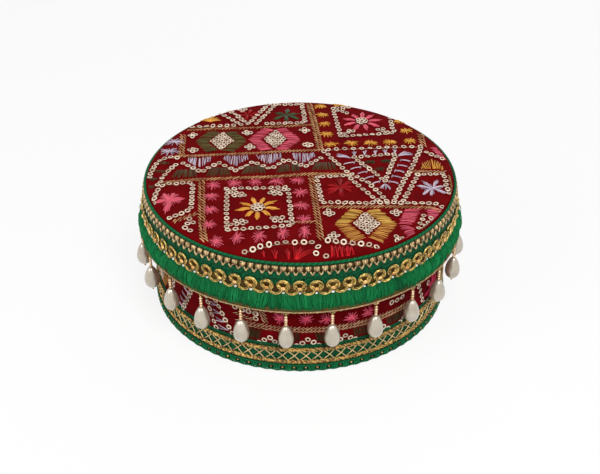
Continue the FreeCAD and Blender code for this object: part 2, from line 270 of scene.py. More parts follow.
def addPiece(name, points, faces, flat, tone, finish, nodes=(), parts=None):
    # points in millimetres, groups of faces as rows of corner numbers, a flat map and a shade for each point
    mesh = bpy.data.meshes.new(name)
    corners = np.concatenate([g.ravel() for g in faces]).astype(np.int32)
    counts = np.concatenate([np.full(len(g), g.shape[1]) for g in faces]).astype(np.int32)
    starts = np.concatenate([[0], np.cumsum(counts)[:-1]]).astype(np.int32)
    mesh.vertices.add(len(points))
    mesh.vertices.foreach_set("co", (np.asarray(points) * 0.001).astype(np.float32).ravel())
    mesh.loops.add(len(corners))
    mesh.loops.foreach_set("vertex_index", corners)
    mesh.polygons.add(len(counts))
    mesh.polygons.foreach_set("loop_start", starts)
    mesh.polygons.foreach_set("use_smooth", np.ones(len(counts), bool))
    layer = mesh.uv_layers.new(name="flat")
    layer.data.foreach_set("uv", np.asarray(flat, np.float32)[corners].ravel())
    shade = mesh.attributes.new("tone", "FLOAT", "POINT")
    shade.data.foreach_set("value", np.asarray(tone, np.float32).ravel())
    names = finish if isinstance(finish, list) else [finish]
    for each in names:
        mesh.materials.append(finishes[each])
    if parts is not None:
        mesh.polygons.foreach_set("material_index", np.asarray(parts, np.int32))
    mesh.update(calc_edges=True)
    mesh.validate()
    piece = bpy.data.objects.new(name, mesh)
    bpy.context.collection.objects.link(piece)
    if name.startswith("pearl"):
        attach(piece, nodes[0])    # each drop is a body of its own
    else:
        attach(piece, "lid" if name.startswith("lid") else "base")
    if nodes:
        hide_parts(*nodes)
    return piece


def circle(count):
    # angles of count places round a circle
    return tau * np.arange(count) / count


def lengthsAlong(line):
    # distance of each point of a broken line from its start
    return np.concatenate([[0], np.cumsum(np.hypot(*np.diff(line, axis=0).T))])


def upright(radius, first, last, count):
    # points of an outline that stand above one another
    return [(radius, level) for level in np.linspace(first, last, count)]


def gridFaces(rows, columns, closeRows=False, closeColumns=False):
    # four-cornered faces of a grid of points, numbered row by row
    r = np.arange(rows if closeRows else rows - 1)
    c = np.arange(columns if closeColumns else columns - 1)
    r, c = [x.ravel() for x in np.meshgrid(r, c, indexing="ij")]
    r2 = (r + 1) % rows
    c2 = (c + 1) % columns
    return np.stack([r * columns + c, r * columns + c2, r2 * columns + c2, r2 * columns + c], 1)


def manyOf(template, count, size):
    # the same faces for each of count copies of size points
    return (template[None] + (np.arange(count) * size)[:, None, None]).reshape(-1, template.shape[1])


def turnedPiece(name, profile, columns, finish, nodes=(), ripple=None):
    # a closed outline of (radius, level) carried round the axis; ripple shifts each point outwards and up
    profile = np.asarray(profile, float)
    rows = len(profile)
    angle = circle(columns)
    radius = np.repeat(profile[:, :1], columns, 1)
    level = np.repeat(profile[:, 1:], columns, 1)
    if ripple:
        out, up = ripple(np.repeat(angle[None], rows, 0), level)
        radius = radius + out
        level = level + up
    points = np.stack([radius * np.sin(angle), -radius * np.cos(angle), level], 2).reshape(-1, 3)
    across = angle[None] * profile[:, 0].max()
    flat = np.stack(np.broadcast_arrays(across, lengthsAlong(profile)[:, None]), 2).reshape(-1, 2)
    faces = [gridFaces(rows, columns, True, True)]
    return addPiece(name, points, faces, flat, np.full(len(points), 0.5), finish, nodes)


def discPiece(name, outline, columns, finish, nodes=(), lift=None):
    # an outline from the axis at the top to the axis below, turned into a disc with both poles closed
    outline = np.asarray(outline, float)
    rim = outline[1:-1]
    rows = len(rim)
    angle = circle(columns)
    x = rim[:, :1] * np.sin(angle)
    y = -rim[:, :1] * np.cos(angle)
    z = np.repeat(rim[:, 1:], columns, 1)
    poles = np.array([[0, 0, outline[0, 1]], [0, 0, outline[-1, 1]]])
    points = np.concatenate([np.stack([x, y, z], 2).reshape(-1, 3), poles])
    if lift:
        points[:, 2] += lift(points)
    first = np.arange(columns)
    after = (first + 1) % columns
    last = (rows - 1) * columns
    top = np.stack([np.full(columns, rows * columns), first, after], 1)
    under = np.stack([np.full(columns, rows * columns + 1), last + after, last + first], 1)
    faces = [gridFaces(rows, columns, False, True)[:, ::-1], top, under]
    return addPiece(name, points, faces, points[:, :2], np.full(len(points), 0.5), finish, nodes)


# grounds: each takes a flat place (two numbers) and a height above the cloth, and gives a point

padRadius, padLow, padTop = ringOf("lid_top_padding")
skirtRadius, skirtLow, clothTop = ringOf("lid_top_cloth")
wallRadius, wallLow, wallTop = ringOf("base_wall_cloth")
lidForm = {"crown": 0.35, "edgeRound": 1.7, "puff": 0.16, "sink": 0.3, "sinkWidth": 1.7, "calmEdge": 6}
patchPull = {"stretch": 1.0235, "shift": -2.0}    # how the patchwork is drawn over the padding, front to back
panelRadius = padRadius + clothTop - padTop
shoulderRadius = panelRadius - lidForm["edgeRound"]

# couched bands of the lid: width, columns of stitches and a broken line, x to the right and y to the back
lidBands = {
    "stripLow": (3.2, 1, [(-81, -11.4), (-56, -7.6), (-20, -5.4), (4, -2.5), (29, -2)]),
    "stripHigh": (2.7, 1, [(-75.5, 18.4), (-50, 20), (-20, 22.6), (13.5, 26.2)]),
    "diamondHigh": (2.5, 1, [(-70.5, 50.6), (-36, 53.2), (8.4, 57)]),
    "leftShort": (4.0, 2, [(-72.4, 45.2), (-71.2, 18.6)]),
    "backMiddle": (4.4, 2, [(5.9, 86), (9.2, 57), (12.2, 27)]),
    "frontLeft": (4.2, 2, [(-56.6, -9), (-54.8, -31), (-53, -52), (-50.4, -69)]),
    "frontMiddle": (4.0, 2, [(6.3, -4.4), (8.7, -36), (10.9, -67)]),
    "starLow": (2.0, 1, [(-3.4, -51.8), (7.8, -51.4)]),
    "rightLow": (3.0, 1, [(10.8, -37), (40, -36.2), (72, -36.8), (78.6, -42)]),
    "rightShort": (4.0, 2, [(74.4, 45.6), (75, 29.8)]),
    "starHigh": (3.0, 1, [(61.6, -1.8), (66, 0.8), (85, 0.6)]),
    "starRight": (1.6, 1, [(86.2, -3), (86, -22)]),
    "corner": (3.0, 2, [(-68.6, -51), (-56, -43)]),
}


def lidRelief(x, y):
    # gentle padding waves, drawn in along the couched lines by a bell curve of the distance to the nearest
    wave = np.sin(0.105 * x + 0.8) * np.cos(0.12 * y - 0.4) + 0.6 * np.sin(0.19 * x - 0.13 * y)
    near = np.full(np.shape(x), 1e9)
    for wide, columns, line in lidBands.values():
        line = np.asarray(line, float) * (1, patchPull["stretch"]) + (0, patchPull["shift"])
        for (ax, ay), (bx, by) in zip(line, line[1:]):
            share = ((x - ax) * (bx - ax) + (y - ay) * (by - ay)) / ((bx - ax) ** 2 + (by - ay) ** 2)
            share = np.clip(share, 0, 1)
            gap = (x - ax - share * (bx - ax)) ** 2 + (y - ay - share * (by - ay)) ** 2
            near = np.minimum(near, gap)
    calm = np.clip((padRadius - np.hypot(x, y)) / lidForm["calmEdge"], 0, 1)
    return calm * (lidForm["puff"] * wave - lidForm["sink"] * np.exp(-near / lidForm["sinkWidth"] ** 2))


def lidHeight(x, y):
    # crowned top that turns down in a quarter round at its edge
    r = np.hypot(x, y)
    crown = lidForm["crown"] * (1 - np.clip(r / shoulderRadius, 0, 1) ** 2)
    over = np.clip(r - shoulderRadius, 0, lidForm["edgeRound"] * 0.999)
    turn = lidForm["edgeRound"] - np.sqrt(lidForm["edgeRound"] ** 2 - over ** 2)
    return clothTop - lidForm["crown"] + crown - turn + lidRelief(x, y)


def onLid(u, v, h):
    # nothing is sewn past the turned edge
    y = v * patchPull["stretch"] + patchPull["shift"]
    keep = np.minimum(1, (panelRadius - 0.5) / np.maximum(np.hypot(u, y), 1))
    return np.stack([u * keep, y * keep, lidHeight(u * keep, y * keep) + h], -1)


def roundGround(radius, lean=0.0, top=0.0):
    # u runs round the drum from the front, v is the level; lean is how fast the radius grows below the top
    slope = np.arctan(lean)

    def ground(u, v, h):
        angle = u / radius
        out = radius + (top - v) * lean + h * np.cos(slope)
        level = v + h * np.sin(slope)
        return np.stack(np.broadcast_arrays(out * np.sin(angle), -out * np.cos(angle), level), -1)
    return ground


# embroidery

stitchForm = {"share": [0, 0.14, 0.5, 0.86, 1], "swell": [0.45, 0.95, 1, 0.95, 0.45],
              "hump": [-0.35, 0.55, 1, 0.55, -0.35], "sides": 5, "flat": 0.85, "tackWidth": 0.36}
# painted shading: painted shade round the hole, a painted highlight along the crest
sequinForm = {"radius": 1.66, "clusterRadius": 1.5, "packedRadius": 1.4, "sides": 12, "tilt": 0.12,
              "section": [(0.45, 0.12), (0.74, 0.44), (1.0, 0.14), (0.74, -0.04)], "cup": 0.9,
              "tone": (0.5, 1.1), "paintedShading": [0.25, 1.3, 0.95, 0.6]}


def spokes(x, y, reach, angle):
    # places at a reach and an angle from one point
    return np.stack([x + reach * np.cos(angle), y + reach * np.sin(angle)], 1)


def onRail(line, share):
    # places along a broken line, at shares of its length
    line = np.asarray(line, float)
    along = lengthsAlong(line)
    return np.stack([np.interp(share * along[-1], along, line[:, i]) for i in (0, 1)], 1)


class Needlework:
    # collects stitches by colour and sequins in flat millimetres, then sews them on a ground
    def __init__(self, ground, loft=1.0):
        self.ground = ground
        self.loft = loft    # how far the sequins stand off the cloth
        self.rows = {}
        self.rings = []

    def stitch(self, colour, starts, ends, width=0.75, lift=0.3):
        starts = np.atleast_2d(starts)
        ends = np.atleast_2d(ends)
        size = width * dice.uniform(0.85, 1.15, (len(starts), 1))
        high = np.full((len(starts), 1), lift)
        self.rows.setdefault(colour, []).append(np.hstack([starts, ends, size, high]))

    def satin(self, colour, railA, railB, count, wander=0.6, width=0.6):
        # parallel stitches from one rail to the other, their ends a little uneven
        t = (np.arange(count) + 0.5) / count
        a = onRail(railA, t) + dice.normal(0, wander / 2, (count, 2))
        b = onRail(railB, t) + dice.normal(0, wander / 2, (count, 2))
        self.stitch(colour, a, b, width, 0.35)

    def star(self, colour, x, y, radius, count=16, first=0.0, sweep=tau, width=0.5, tall=1.0):
        # straight stitches out of one hole, uneven in length; tall draws the star out from front to back
        angle = first + sweep * (np.arange(count) + dice.uniform(-0.3, 0.3, count)) / count
        reach = radius * dice.uniform(0.68, 1.08, count)
        tips = spokes(0, 0, reach, angle) * (1 / tall, tall) + (x, y)
        self.stitch(colour, np.full((count, 2), (x, y)), tips, width, 0.45)

    def petals(self, colour, x, y, inner, outer, count=9, first=0.0, fat=0.2, strands=7, width=0.62,
               blunt=0.8, uneven=0.08):
        # leaves of long stitches side by side; blunt is how wide they still are at the tip
        spread = np.linspace(-1, 1, strands)
        for angle in first + tau * (np.arange(count) + dice.uniform(-uneven, uneven, count)) / count:
            near = spokes(x, y, inner, angle + spread * fat)
            long = outer * dice.uniform(1 - uneven, 1 + uneven) * (1 - 0.22 * np.abs(spread))
            far = spokes(x, y, long * dice.uniform(0.9, 1.05, strands), angle + spread * fat * blunt)
            self.stitch(colour, near, far, width, 0.5)

    def sequin(self, places, radius=sequinForm["radius"], paintedLight=0.0, face=0.0):
        # face is how steeply the rings lean towards the front; the offset before it adds a painted highlight
        # to their colour, or painted shade where it is below 0
        places = np.atleast_2d(places)
        tone = paintedLight + dice.uniform(*sequinForm["tone"], len(places))
        same = np.ones(len(places))
        self.rings.append(np.column_stack([places, same * radius, tone, same * face]))

    def sequinLine(self, line, gap=4.0, tack=True):
        # rings spaced along a broken line, with the tacking thread that holds them
        count = max(2, int(round(lengthsAlong(line)[-1] / gap)) + 1)
        places = onRail(line, np.linspace(0, 1, count)) + dice.normal(0, 0.14, (count, 2))
        self.sequin(places)
        if tack:
            self.stitch("tack", places[:-1], places[1:], stitchForm["tackWidth"], 0.1)

    def sequinLines(self, gap, *lines):
        for line in lines:
            self.sequinLine(line, gap)

    def cluster(self, x, y, gap=1.95, count=4):
        # rings round one in the middle
        places = spokes(x, y, gap, circle(count)) + dice.normal(0, 0.12, (count, 2))
        self.sequin(np.vstack([places, (x, y)]), sequinForm["clusterRadius"])

    def sequinDiamond(self, x, y, wide, tall, across=5):
        # rings packed in slanting rows
        steps = np.linspace(-0.5, 0.5, across)
        p, q = [g.ravel() for g in np.meshgrid(steps, steps)]
        places = np.stack([x + (p - q) * wide, y + (p + q) * tall], 1)
        self.sequin(places + dice.normal(0, 0.14, places.shape), sequinForm["packedRadius"])

    def hexagon(self, colours, x, y, wide, talls, flat, hole, count=22):
        # a six-sided ring of four satin blocks round a diamond hole; colours and talls: below, then above
        for side in (-1, 1):
            for up, tall, colour in zip((-1, 1), talls, colours):
                outer = [(x + side * wide, y), (x + side * flat, y + up * tall)]
                inner = [(x + side * hole[0], y), (x + side * 0.4, y + up * hole[1])]
                self.satin(colour, outer, inner, count, 0.8, 0.44)

    def couch(self, wide, columns, line, gap=2.1, width=0.6, colour="couch"):
        # slanted stitches side by side along a line, in one or more columns that all lean the same way
        count = max(3, int(lengthsAlong(line)[-1] / gap))
        middle = onRail(line, (np.arange(count) + 0.5) / count)
        way = np.gradient(middle, axis=0)
        way = way / np.hypot(*way.T)[:, None]
        across = np.stack([-way[:, 1], way[:, 0]], 1)
        part = wide / columns
        lean = (0.35 + 0.3 * columns) * part
        for column in range(columns):
            centre = middle + across * (column + 0.5 - columns / 2) * part
            half = across * part * 0.5 + way * lean + dice.normal(0, 0.12, (count, 2))
            self.stitch(colour, centre - half, centre + half, width, 0.45)

    def sew(self, prefix):
        for colour, rows in self.rows.items():
            self.sewStitches(prefix + colour.capitalize() + "Thread", np.concatenate(rows), colour)
        self.sewSequins(prefix + "Sequins", np.concatenate(self.rings))
        total = sum(len(r) for rows in self.rows.values() for r in rows)
        print(prefix, "embroidery:", total, "stitches,", sum(len(r) for r in self.rings), "sequins")

    def sewStitches(self, name, rows, colour):
        # each stitch swells from its ends, which dip into the cloth
        share, swell, hump = [np.array(stitchForm[key]) for key in ("share", "swell", "hump")]
        u, v = [rows[:, i, None] + (rows[:, i + 2] - rows[:, i])[:, None] * share for i in (0, 1)]
        strand = tubes(self.ground, u, v, rows[:, 5, None] * hump, rows[:, 4, None] / 2 * swell,
                       stitchForm["sides"], flat=stitchForm["flat"])
        joinStrands(name, [strand], colour)

    def sewSequins(self, name, rows):
        # cupped rings: a four-sided section carried round a small circle, each tilted a little
        around = circle(sequinForm["sides"])
        section = np.array(sequinForm["section"])
        count = len(rows)
        tilt = dice.normal(0, sequinForm["tilt"], (count, 2))
        tilt[:, 1] += rows[:, 4]
        radius = rows[:, 2] * dice.uniform(0.93, 1.06, count)
        x = radius[:, None, None] * section[:, 0, None] * np.cos(around)
        y = radius[:, None, None] * section[:, 0, None] * np.sin(around)
        rest = 0.25 + dice.uniform(0, 0.35, count) + 0.75 * rows[:, 4] * radius
        h = rest[:, None, None] + section[None, :, 1, None] * sequinForm["cup"]
        h = h + tilt[:, 0, None, None] * x + tilt[:, 1, None, None] * y
        middle = rows[:, :2, None, None]
        points = self.ground(middle[:, 0] + x, middle[:, 1] + y, self.loft * h).reshape(-1, 3)
        ring = gridFaces(len(section), len(around), True, True)[:, ::-1]
        faces = [manyOf(ring, count, len(section) * len(around))]
        # painted shade round each hole and a painted highlight along each crest
        tone = rows[:, 3, None, None] * np.array(sequinForm["paintedShading"])[:, None] + 0 * x
        addPiece(name, points, faces, points[:, :2], tone, "sequin")


def tubes(ground, u, v, h, radius, sides=5, closed=False, flat=1.0, tone=None):
    # tubes about many paths at once: one row of u, v, h for each path, its section square to the path
    count, steps = u.shape
    h, radius = np.broadcast_to(h, u.shape), np.broadcast_to(radius, u.shape)
    du, dv = np.gradient(u, axis=1), np.gradient(v, axis=1)
    long = np.hypot(du, dv) + 1e-9
    around = circle(sides) + tau / 4
    side = radius[..., None] * np.cos(around)
    high = h[..., None] + flat * radius[..., None] * np.sin(around)
    sideU = u[..., None] - (dv / long)[..., None] * side
    sideV = v[..., None] + (du / long)[..., None] * side
    points = ground(sideU, sideV, high)
    size = steps * sides
    faces = [manyOf(gridFaces(steps, sides, closed, True), count, size)]
    if not closed:
        caps = np.stack([np.arange(sides - 1, -1, -1), np.arange(size - sides, size)])
        faces.append(manyOf(caps, count, size))
    run = np.cumsum(long, 1) + 7.3 * np.arange(count)[:, None]    # no two strands start at the same streak
    lie = np.stack(np.broadcast_arrays(around / tau, run[..., None]), -1).reshape(-1, 2)
    tone = dice.uniform(0, 1, count)[:, None] if tone is None else tone
    return points.reshape(-1, 3), faces, lie, np.repeat(np.broadcast_to(tone, u.shape).ravel(), sides)


def twistedRing(ground, line, yarn, pitch, lift, plies=2, helix=0.85, mottle=0.0, sides=5):
    # plies wound round a closed line: the middle of each circles the line once in each pitch
    line = np.asarray(line, float)
    along = lengthsAlong(line)
    turns = int(round(along[-1] / pitch))
    count = turns * 8
    s = along[-1] * (np.arange(count) / count)
    u, v = [np.interp(s, along, line[:, i]) for i in (0, 1)]
    du, dv = np.gradient(u), np.gradient(v)
    long = np.hypot(du, dv)
    phase = tau * turns * s / along[-1] + circle(plies)[:, None]
    side = helix * yarn * np.cos(phase)
    high = lift + helix * yarn * np.sin(phase)
    tone = ((np.arange(plies) + 0.5) / plies)[:, None] + mottle * dice.normal(0, 1, (plies, count))
    return tubes(ground, u - dv / long * side, v + du / long * side, high, yarn, sides, True, tone=tone)


def joinStrands(name, strands, finish, nodes=()):
    # several meshes of strands as one piece
    shift = np.concatenate([[0], np.cumsum([len(s[0]) for s in strands])])
    faces = {}
    for strand, start in zip(strands, shift):
        for group in strand[1]:
            faces.setdefault(group.shape[1], []).append(group + start)
    faces = [np.concatenate(groups) for groups in faces.values()]
    points, flat, tone = [np.concatenate([s[i] for s in strands]) for i in (0, 2, 3)]
    addPiece(name, points, faces, flat, tone, finish, nodes)


# patches of the lid's top, placed as on the cloth: x to the right and y to the back

def frontLeftSquare(work):
    # pink stars round a ring of sequins, with a yellow daisy
    stars = [(-49.5, -14.2), (-37.4, -12.7), (-25.7, -11.2), (-13.4, -10.4), (-1.2, -9.8)]
    stars += [(-50, -26), (-49.2, -39.8), (-48.8, -54), (0.2, -22), (0.8, -35.4), (2.2, -49)]
    for x, y in stars:
        work.star("pink", x, y, 5)
    for x, y in [(-43.8, -69.7), (-33.1, -66.2), (-21.5, -64.7), (-9.2, -62), (2.4, -60.4)]:
        work.star("pink", x, y, 5.2, 17, tall=1.3)
    work.sequinLine([(-41.4, -19.2), (-6.8, -17.2), (-4.1, -55), (-39.2, -59.6), (-41.4, -19.2)], 4.15)
    for x, y, way, up in [(-36.4, -23, 1, 1), (-11.6, -21, -1, 1), (-10, -51, -1, -1), (-34.4, -54, 1, -1)]:
        for du, dv in [(-2.6, 0.6), (0.6, 0), (-0.4, -3.2), (2.8, -3.6), (5.2, -2.6), (3.6, -0.6)]:
            work.sequin((x + du * way, y + dv * up), 1.55)
    work.petals("yellow", -23.3, -37.4, 4, 12, 9, -0.12, 0.16)
    work.cluster(-23.3, -37.4, 2.7, 7)


def leftPatch(work):
    # pink flower in a frame of sequins
    rays = [(0.35, 9.4), (1.48, 8.4), (2.3, 7.6), (3.3, 8.8), (4.35, 12.6), (5.2, 7.6), (5.8, 6.4)]
    for angle, long in rays:
        work.petals("pink", -72.6, -29.4, 0.6, long, 1, angle, 0.44, 11, 0.5, blunt=0.4)
    work.star("pink", -72.6, -29.4, 7, 24)
    border = [(-78.1, -15.3), (-74.6, -13.5), (-61.2, -12.4), (-59.9, -39.6), (-70.8, -48.1)]
    work.sequinLines(3.9, border, [(-80, -20), (-81.4, -25), (-81, -33)])
    work.sequin([(-59.8, -49.2), (-57.5, -52.6), (-60.4, -53.4), (-61.4, -57), (-58.4, -59.8)])


def zigzagStrip(work):
    # lavender fans over olive blocks, sequins between
    for x, y in [(-59.6, 17), (-38.4, 19), (-18.4, 20.4), (2, 22)]:
        low = [(x - 7, y - 4.6), (x - 2, y - 10.6), (x + 1, y - 11.8), (x + 7, y - 4)]
        work.satin("lavender", [(x - 7, y - 0.4), (x + 7, y + 0.8)], low, 19, 0.9, 0.5)
    for x, y in [(-67, -6.4), (-47.4, -4.8), (-27, -2.4), (-6.6, -0.6), (14.2, 1.2)]:
        top = [(x - 4.4, y + 9.6), (x + 5, y + 10.2)]
        work.satin("olive", [(x - 7.4, y), (x + 7.4, y + 1)], top, 22, 0.7, 0.5)
    zigzag = [(-69, 9.6), (-57.6, -1), (-48, 9.6), (-36.8, 0.8), (-28, 11.2), (-17, 3), (-8, 13.6), (3.2, 5)]
    work.sequinLine(zigzag + [(12.6, 15.2)], 4.4)


def diamondStrip(work):
    # two hexagons round diamonds of sequins
    work.hexagon(("moss", "moss"), -48.2, 36.2, 16, (12.8, 12.6), 9, (8, 11.2))
    work.sequinDiamond(-47.8, 36.2, 5.9, 9)
    work.hexagon(("pink", "pink"), -15.8, 38.4, 16.4, (14.4, 14.4), 7.6, (8, 12.4))
    work.sequinDiamond(-15.2, 38.2, 5.5, 9.4)
    for x, y in [(-66.2, 43.2), (-64.6, 25), (-32.8, 45.6), (-30.4, 28), (2.8, 48.8), (4.8, 31)]:
        work.cluster(x, y)


def backLeftPatches(work):
    # a double V of sequins between small flowers
    work.sequinLine([(-67.4, 53.6), (-41.6, 55.4)])
    for shift in (0, 5):
        work.sequinLine([(-51 + shift, 71.2 + shift), (-37 + shift * 0.8, 57 + shift * 0.2)])
        work.sequinLine([(-20.6 + shift, 84), (-32.4 + shift, 58.6)])
    work.star("yellow", -57, 61, 8.4, 12, 0.3, 2.7, 0.8)
    work.petals("garnet", -33, 70.6, 0.5, 8.4, 6, 0.3, 0.28, 8, 0.5, blunt=0.7)
    work.sequin([(-39, 76.8), (-35.4, 77.4), (-37, 74.6)], 1.6)
    work.petals("fern", -8.9, 69.6, 0.4, 9.4, 6, 0.5, 0.36, 9, 0.5, blunt=0.6, uneven=0.2)
    work.stitch("fern", [(-4, 71)], [(2, 72.4)], 0.5)
    work.sequinLine([(-17.6, 84), (1, 84.4), (3.6, 59.4), (-21, 57.8)], 3.9)


def backRightSquare(work):
    # yellow suns round a frame of sequins, with a pink daisy
    suns = [(19.1, 32.1), (31.5, 33.1), (42.8, 34.1), (55.2, 35.1), (67.2, 36.7), (65.8, 49.3), (63.4, 61.8)]
    suns += [(16.5, 44.7), (15.4, 57.6), (14, 70.4), (13.1, 82.4), (25.2, 84)]
    for x, y in suns:
        work.star("yellow", x, y, 4.3, 14, width=0.62, tall=0.9)
    work.sequinLine([(32, 79.8), (21.2, 79.4), (25, 41.4), (58.4, 46), (57, 64.6)])
    for x, y, way in [(27.2, 73.6, 1), (30, 46.4, -1), (51.6, 48.6, 1)]:
        work.sequin([(x, y), (x - 3 * way, y + 2), (x + 2.8 * way, y - 1.6), (x + 0.4, y + 2.8)], 1.5)
    work.petals("pink", 39.2, 62, 4.4, 12.6, 9, 0.1, 0.17)
    work.cluster(39.2, 62, 2.7, 7)


def trianglePatch(work):
    # a V of doubled sequin lines with lavender rungs, round a smaller triangle with leaves
    work.sequinLine([(17, 25), (45, 27.4), (73, 29.8)], 4.9)
    leftOuter = [(14.4, 22.8), (24.7, 3.8), (31.3, -4.3), (39.8, -13.4), (45.3, -24.9), (48, -31.6)]
    rightOuter = [(73, 27), (65, 2.9), (59.7, -9.6), (52.5, -31)]
    work.sequinLines(4.2, leftOuter, [(27.1, -4.3), (34.3, -17.3), (43, -31)])
    work.sequinLines(4.2, rightOuter, [(68.4, -3.6), (63.2, -16.5), (57.4, -31)])
    work.sequinLine([(32.2, 16.4), (57.4, 20), (48.8, -10.6), (32.2, 16.4)])
    leftRails = [(25.2, 8.4), (40.5, -13.9), (32.4, 11.1), (45.8, -10.4)]
    rightRails = [(65.4, 11.7), (56.4, -13), (59.8, 13.6), (51.3, -10.4)]
    for outerTop, outerLow, innerTop, innerLow in np.array([leftRails, rightRails]):
        for t in np.linspace(0, 1, 5):
            a = (1 - t) * outerTop + t * outerLow
            b = (1 - t) * innerTop + t * innerLow
            ends = [b, b + (0, 0.5), b + (0.5, 1.4)]
            work.stitch("lavender", [a, a + (0.3, 0.7), b - (0.5, 1.4)], ends, 0.46, 0.5)
    for x, y in [(32.4, 18.6), (38.6, 19.2), (45, 19.8), (51, 20.6), (57, 21.4)]:
        work.star("lavender", x, y, 6.4, 4, 1.25, 0.7, 0.55)
    work.star("lavender", 30.4, 15.8, 9.4, 8, 2.5, 0.55, 0.6)
    work.star("lavender", 58.4, 18.6, 10, 6, 0.15, 0.8, 0.6)
    work.star("lavender", 48.6, -12.6, 6.6, 7, 4.1, 1.3, 0.5)
    for x, y in [(41.5, 11.1), (50.6, 12.1), (46.7, 2.9)]:
        right = [(x + 2.8, y + 1.6), (x + 2.8, y - 1.2)]
        work.satin("leaf", [(x - 2.8, y + 1.3), (x - 2.8, y - 1.3)], right, 6, 1.0, 0.42)


def flowerPatches(work):
    # a red flower and a lavender one, under a long row of sequins
    work.petals("crimson", 22.9, -17.3, 0.5, 10.4, 8, 0.15, 0.2, 6, 0.44, blunt=0.9, uneven=0.25)
    work.star("crimson", 22.9, -17.3, 8, 18, width=0.4)
    work.sequinLine([(28.6, -4.4), (9.6, -6.2), (12.4, -33), (74, -33.2), (78, -36.6)], 3.9)
    work.petals("lavender", 75.1, -17.3, 0.5, 9.8, 7, 0.2, 0.17, 6, 0.46, blunt=0.85, uneven=0.2)
    work.star("lavender", 75.1, -17.3, 6.5, 14, width=0.4)
    work.sequinLine([(67.8, -3.6), (82.6, -2.2)])
    work.sequinLine([(83.2, -5.4), (83.6, -23)], 4.4)


def frontRightPatches(work):
    # mustard hexagon and rose half hexagon
    work.hexagon(("amber", "mustard"), 35.4, -53.2, 17, (17.6, 15), 8, (8.6, 12.4), 24)
    work.sequinDiamond(35.8, -53, 5.8, 9.2)
    for x, y, count in [(15.8, -43.6, 4), (52.6, -42.6, 4), (17.8, -64.6, 4), (52, -67, 3)]:
        work.cluster(x, y, count=count)
    work.satin("pink", [(52.8, -53.4), (57.4, -38.6)], [(60.4, -54.4), (66.8, -38.2)], 20, 0.8, 0.46)
    work.satin("rose", [(53, -54.4), (58, -69)], [(60, -55.2), (62.4, -64)], 15, 0.8, 0.45)
    work.satin("rose", [(68.6, -38.6), (70.6, -50.6)], [(78.6, -38.4), (74.4, -45.8)], 15, 0.8, 0.5)
    work.sequinLines(3.9, [(67.6, -45.4), (63.4, -57.4)], [(70.8, -48.4), (66, -58.4)])


def frontStrip(work):
    # loose sequins along the front edge, red feather stitches and a red block
    bright = [(-24.4, -77.7), (-20.6, -75.4), (-16.1, -73.9), (-2.7, -71.2), (2.1, -71), (8.3, -81)]
    bright += [(14.6, -69.4), (22.8, -71.2), (31.8, -72.9)]
    shadedSequins = [(-28.6, -79), (-11.9, -72.2), (-7.5, -70.9), (6.2, -70.4), (9.4, -74.6), (13.4, -82.6)]
    shadedSequins += [(18.8, -70.2), (27.4, -71.9), (36, -73), (39.9, -74.8)]
    # the first row gets a painted highlight in its colour, the second a touch of painted shade
    work.sequin(bright, 1.72, 0.7, 0.36)
    work.sequin(shadedSequins, 1.66, -0.1, 0.12)
    ends = [(-11.9, -72.2), (8, -70), (39.9, -74.8)]
    work.stitch("tack", [(-28.6, -79), (-11.9, -72.2), (14.6, -69)], ends, 0.3, 0.05)
    fans = [(-18.3, -82.7, 5, 3, 1.5, 0.7), (-12.5, -84.6, 9, 3, 1.5, 0.5)]
    fans += [(-5.7, -86, 11.5, 4, 1.52, 0.36), (-2.4, -86.6, 16, 11, 0.7, 1.05)]
    for x, y, long, count, start, sweep in fans:
        work.star("red", x, y, long, count, start, sweep, 0.45)
    work.satin("red", [(15.6, -73), (27.4, -73.6)], [(16, -83.4), (27.6, -82.4)], 24, 1.4, 0.42)


def sideEdges(work):
    # what shows of the next patches at the far right and the far left
    dome = [(70.8, 4.4), (72.6, 11.4), (78, 15.6), (83, 11.4), (84, 4.4)]
    work.satin("yellow", dome, [(71, 3.4), (83.6, 3.4)], 19, 0.5, 0.48)
    work.satin("rose", [(78.6, 29.4), (83.4, 16)], [(83.2, 28), (86.8, 14)], 20, 0.6, 0.55)
    work.sequinLine([(75.8, 22.4), (84.4, 15)], 4.4)
    for x, y in [(-77, 35.5), (-78.3, 23.8)]:
        work.star("lavender", x, y, 6, 15, tall=0.85)
    for x, y, wide in [(-80.6, 9, 3), (-81.4, -0.2, 3), (-84.2, -9, 1.8), (-84.4, -17.6, 1.4)]:
        work.satin("olive", [(x - wide, y), (x + wide, y + 0.4)], [(x - wide, y + 3), (x + wide, y + 2.6)], 9)
    work.sequinLine([(-73.3, 8.4), (-75.7, 3.8), (-77.9, -1.6), (-79.5, -7.8), (-81, -14.8)])
    work.sequinLine([(-73.1, 15.8), (-78.1, 16.7), (-83, 13.9), (-85.2, 8.4), (-86.2, 1.1), (-86.7, -6.1)])


lidWork = Needlework(onLid)
for bandWide, bandColumns, bandLine in lidBands.values():
    lidWork.couch(bandWide, bandColumns, bandLine, 1.5 + 0.65 * bandColumns)
for patch in (frontLeftSquare, leftPatch, zigzagStrip, diamondStrip, backLeftPatches, backRightSquare,
              trianglePatch, flowerPatches, frontRightPatches, frontStrip, sideEdges):
    patch(lidWork)
lidWork.sew("lid")


# lid cloth

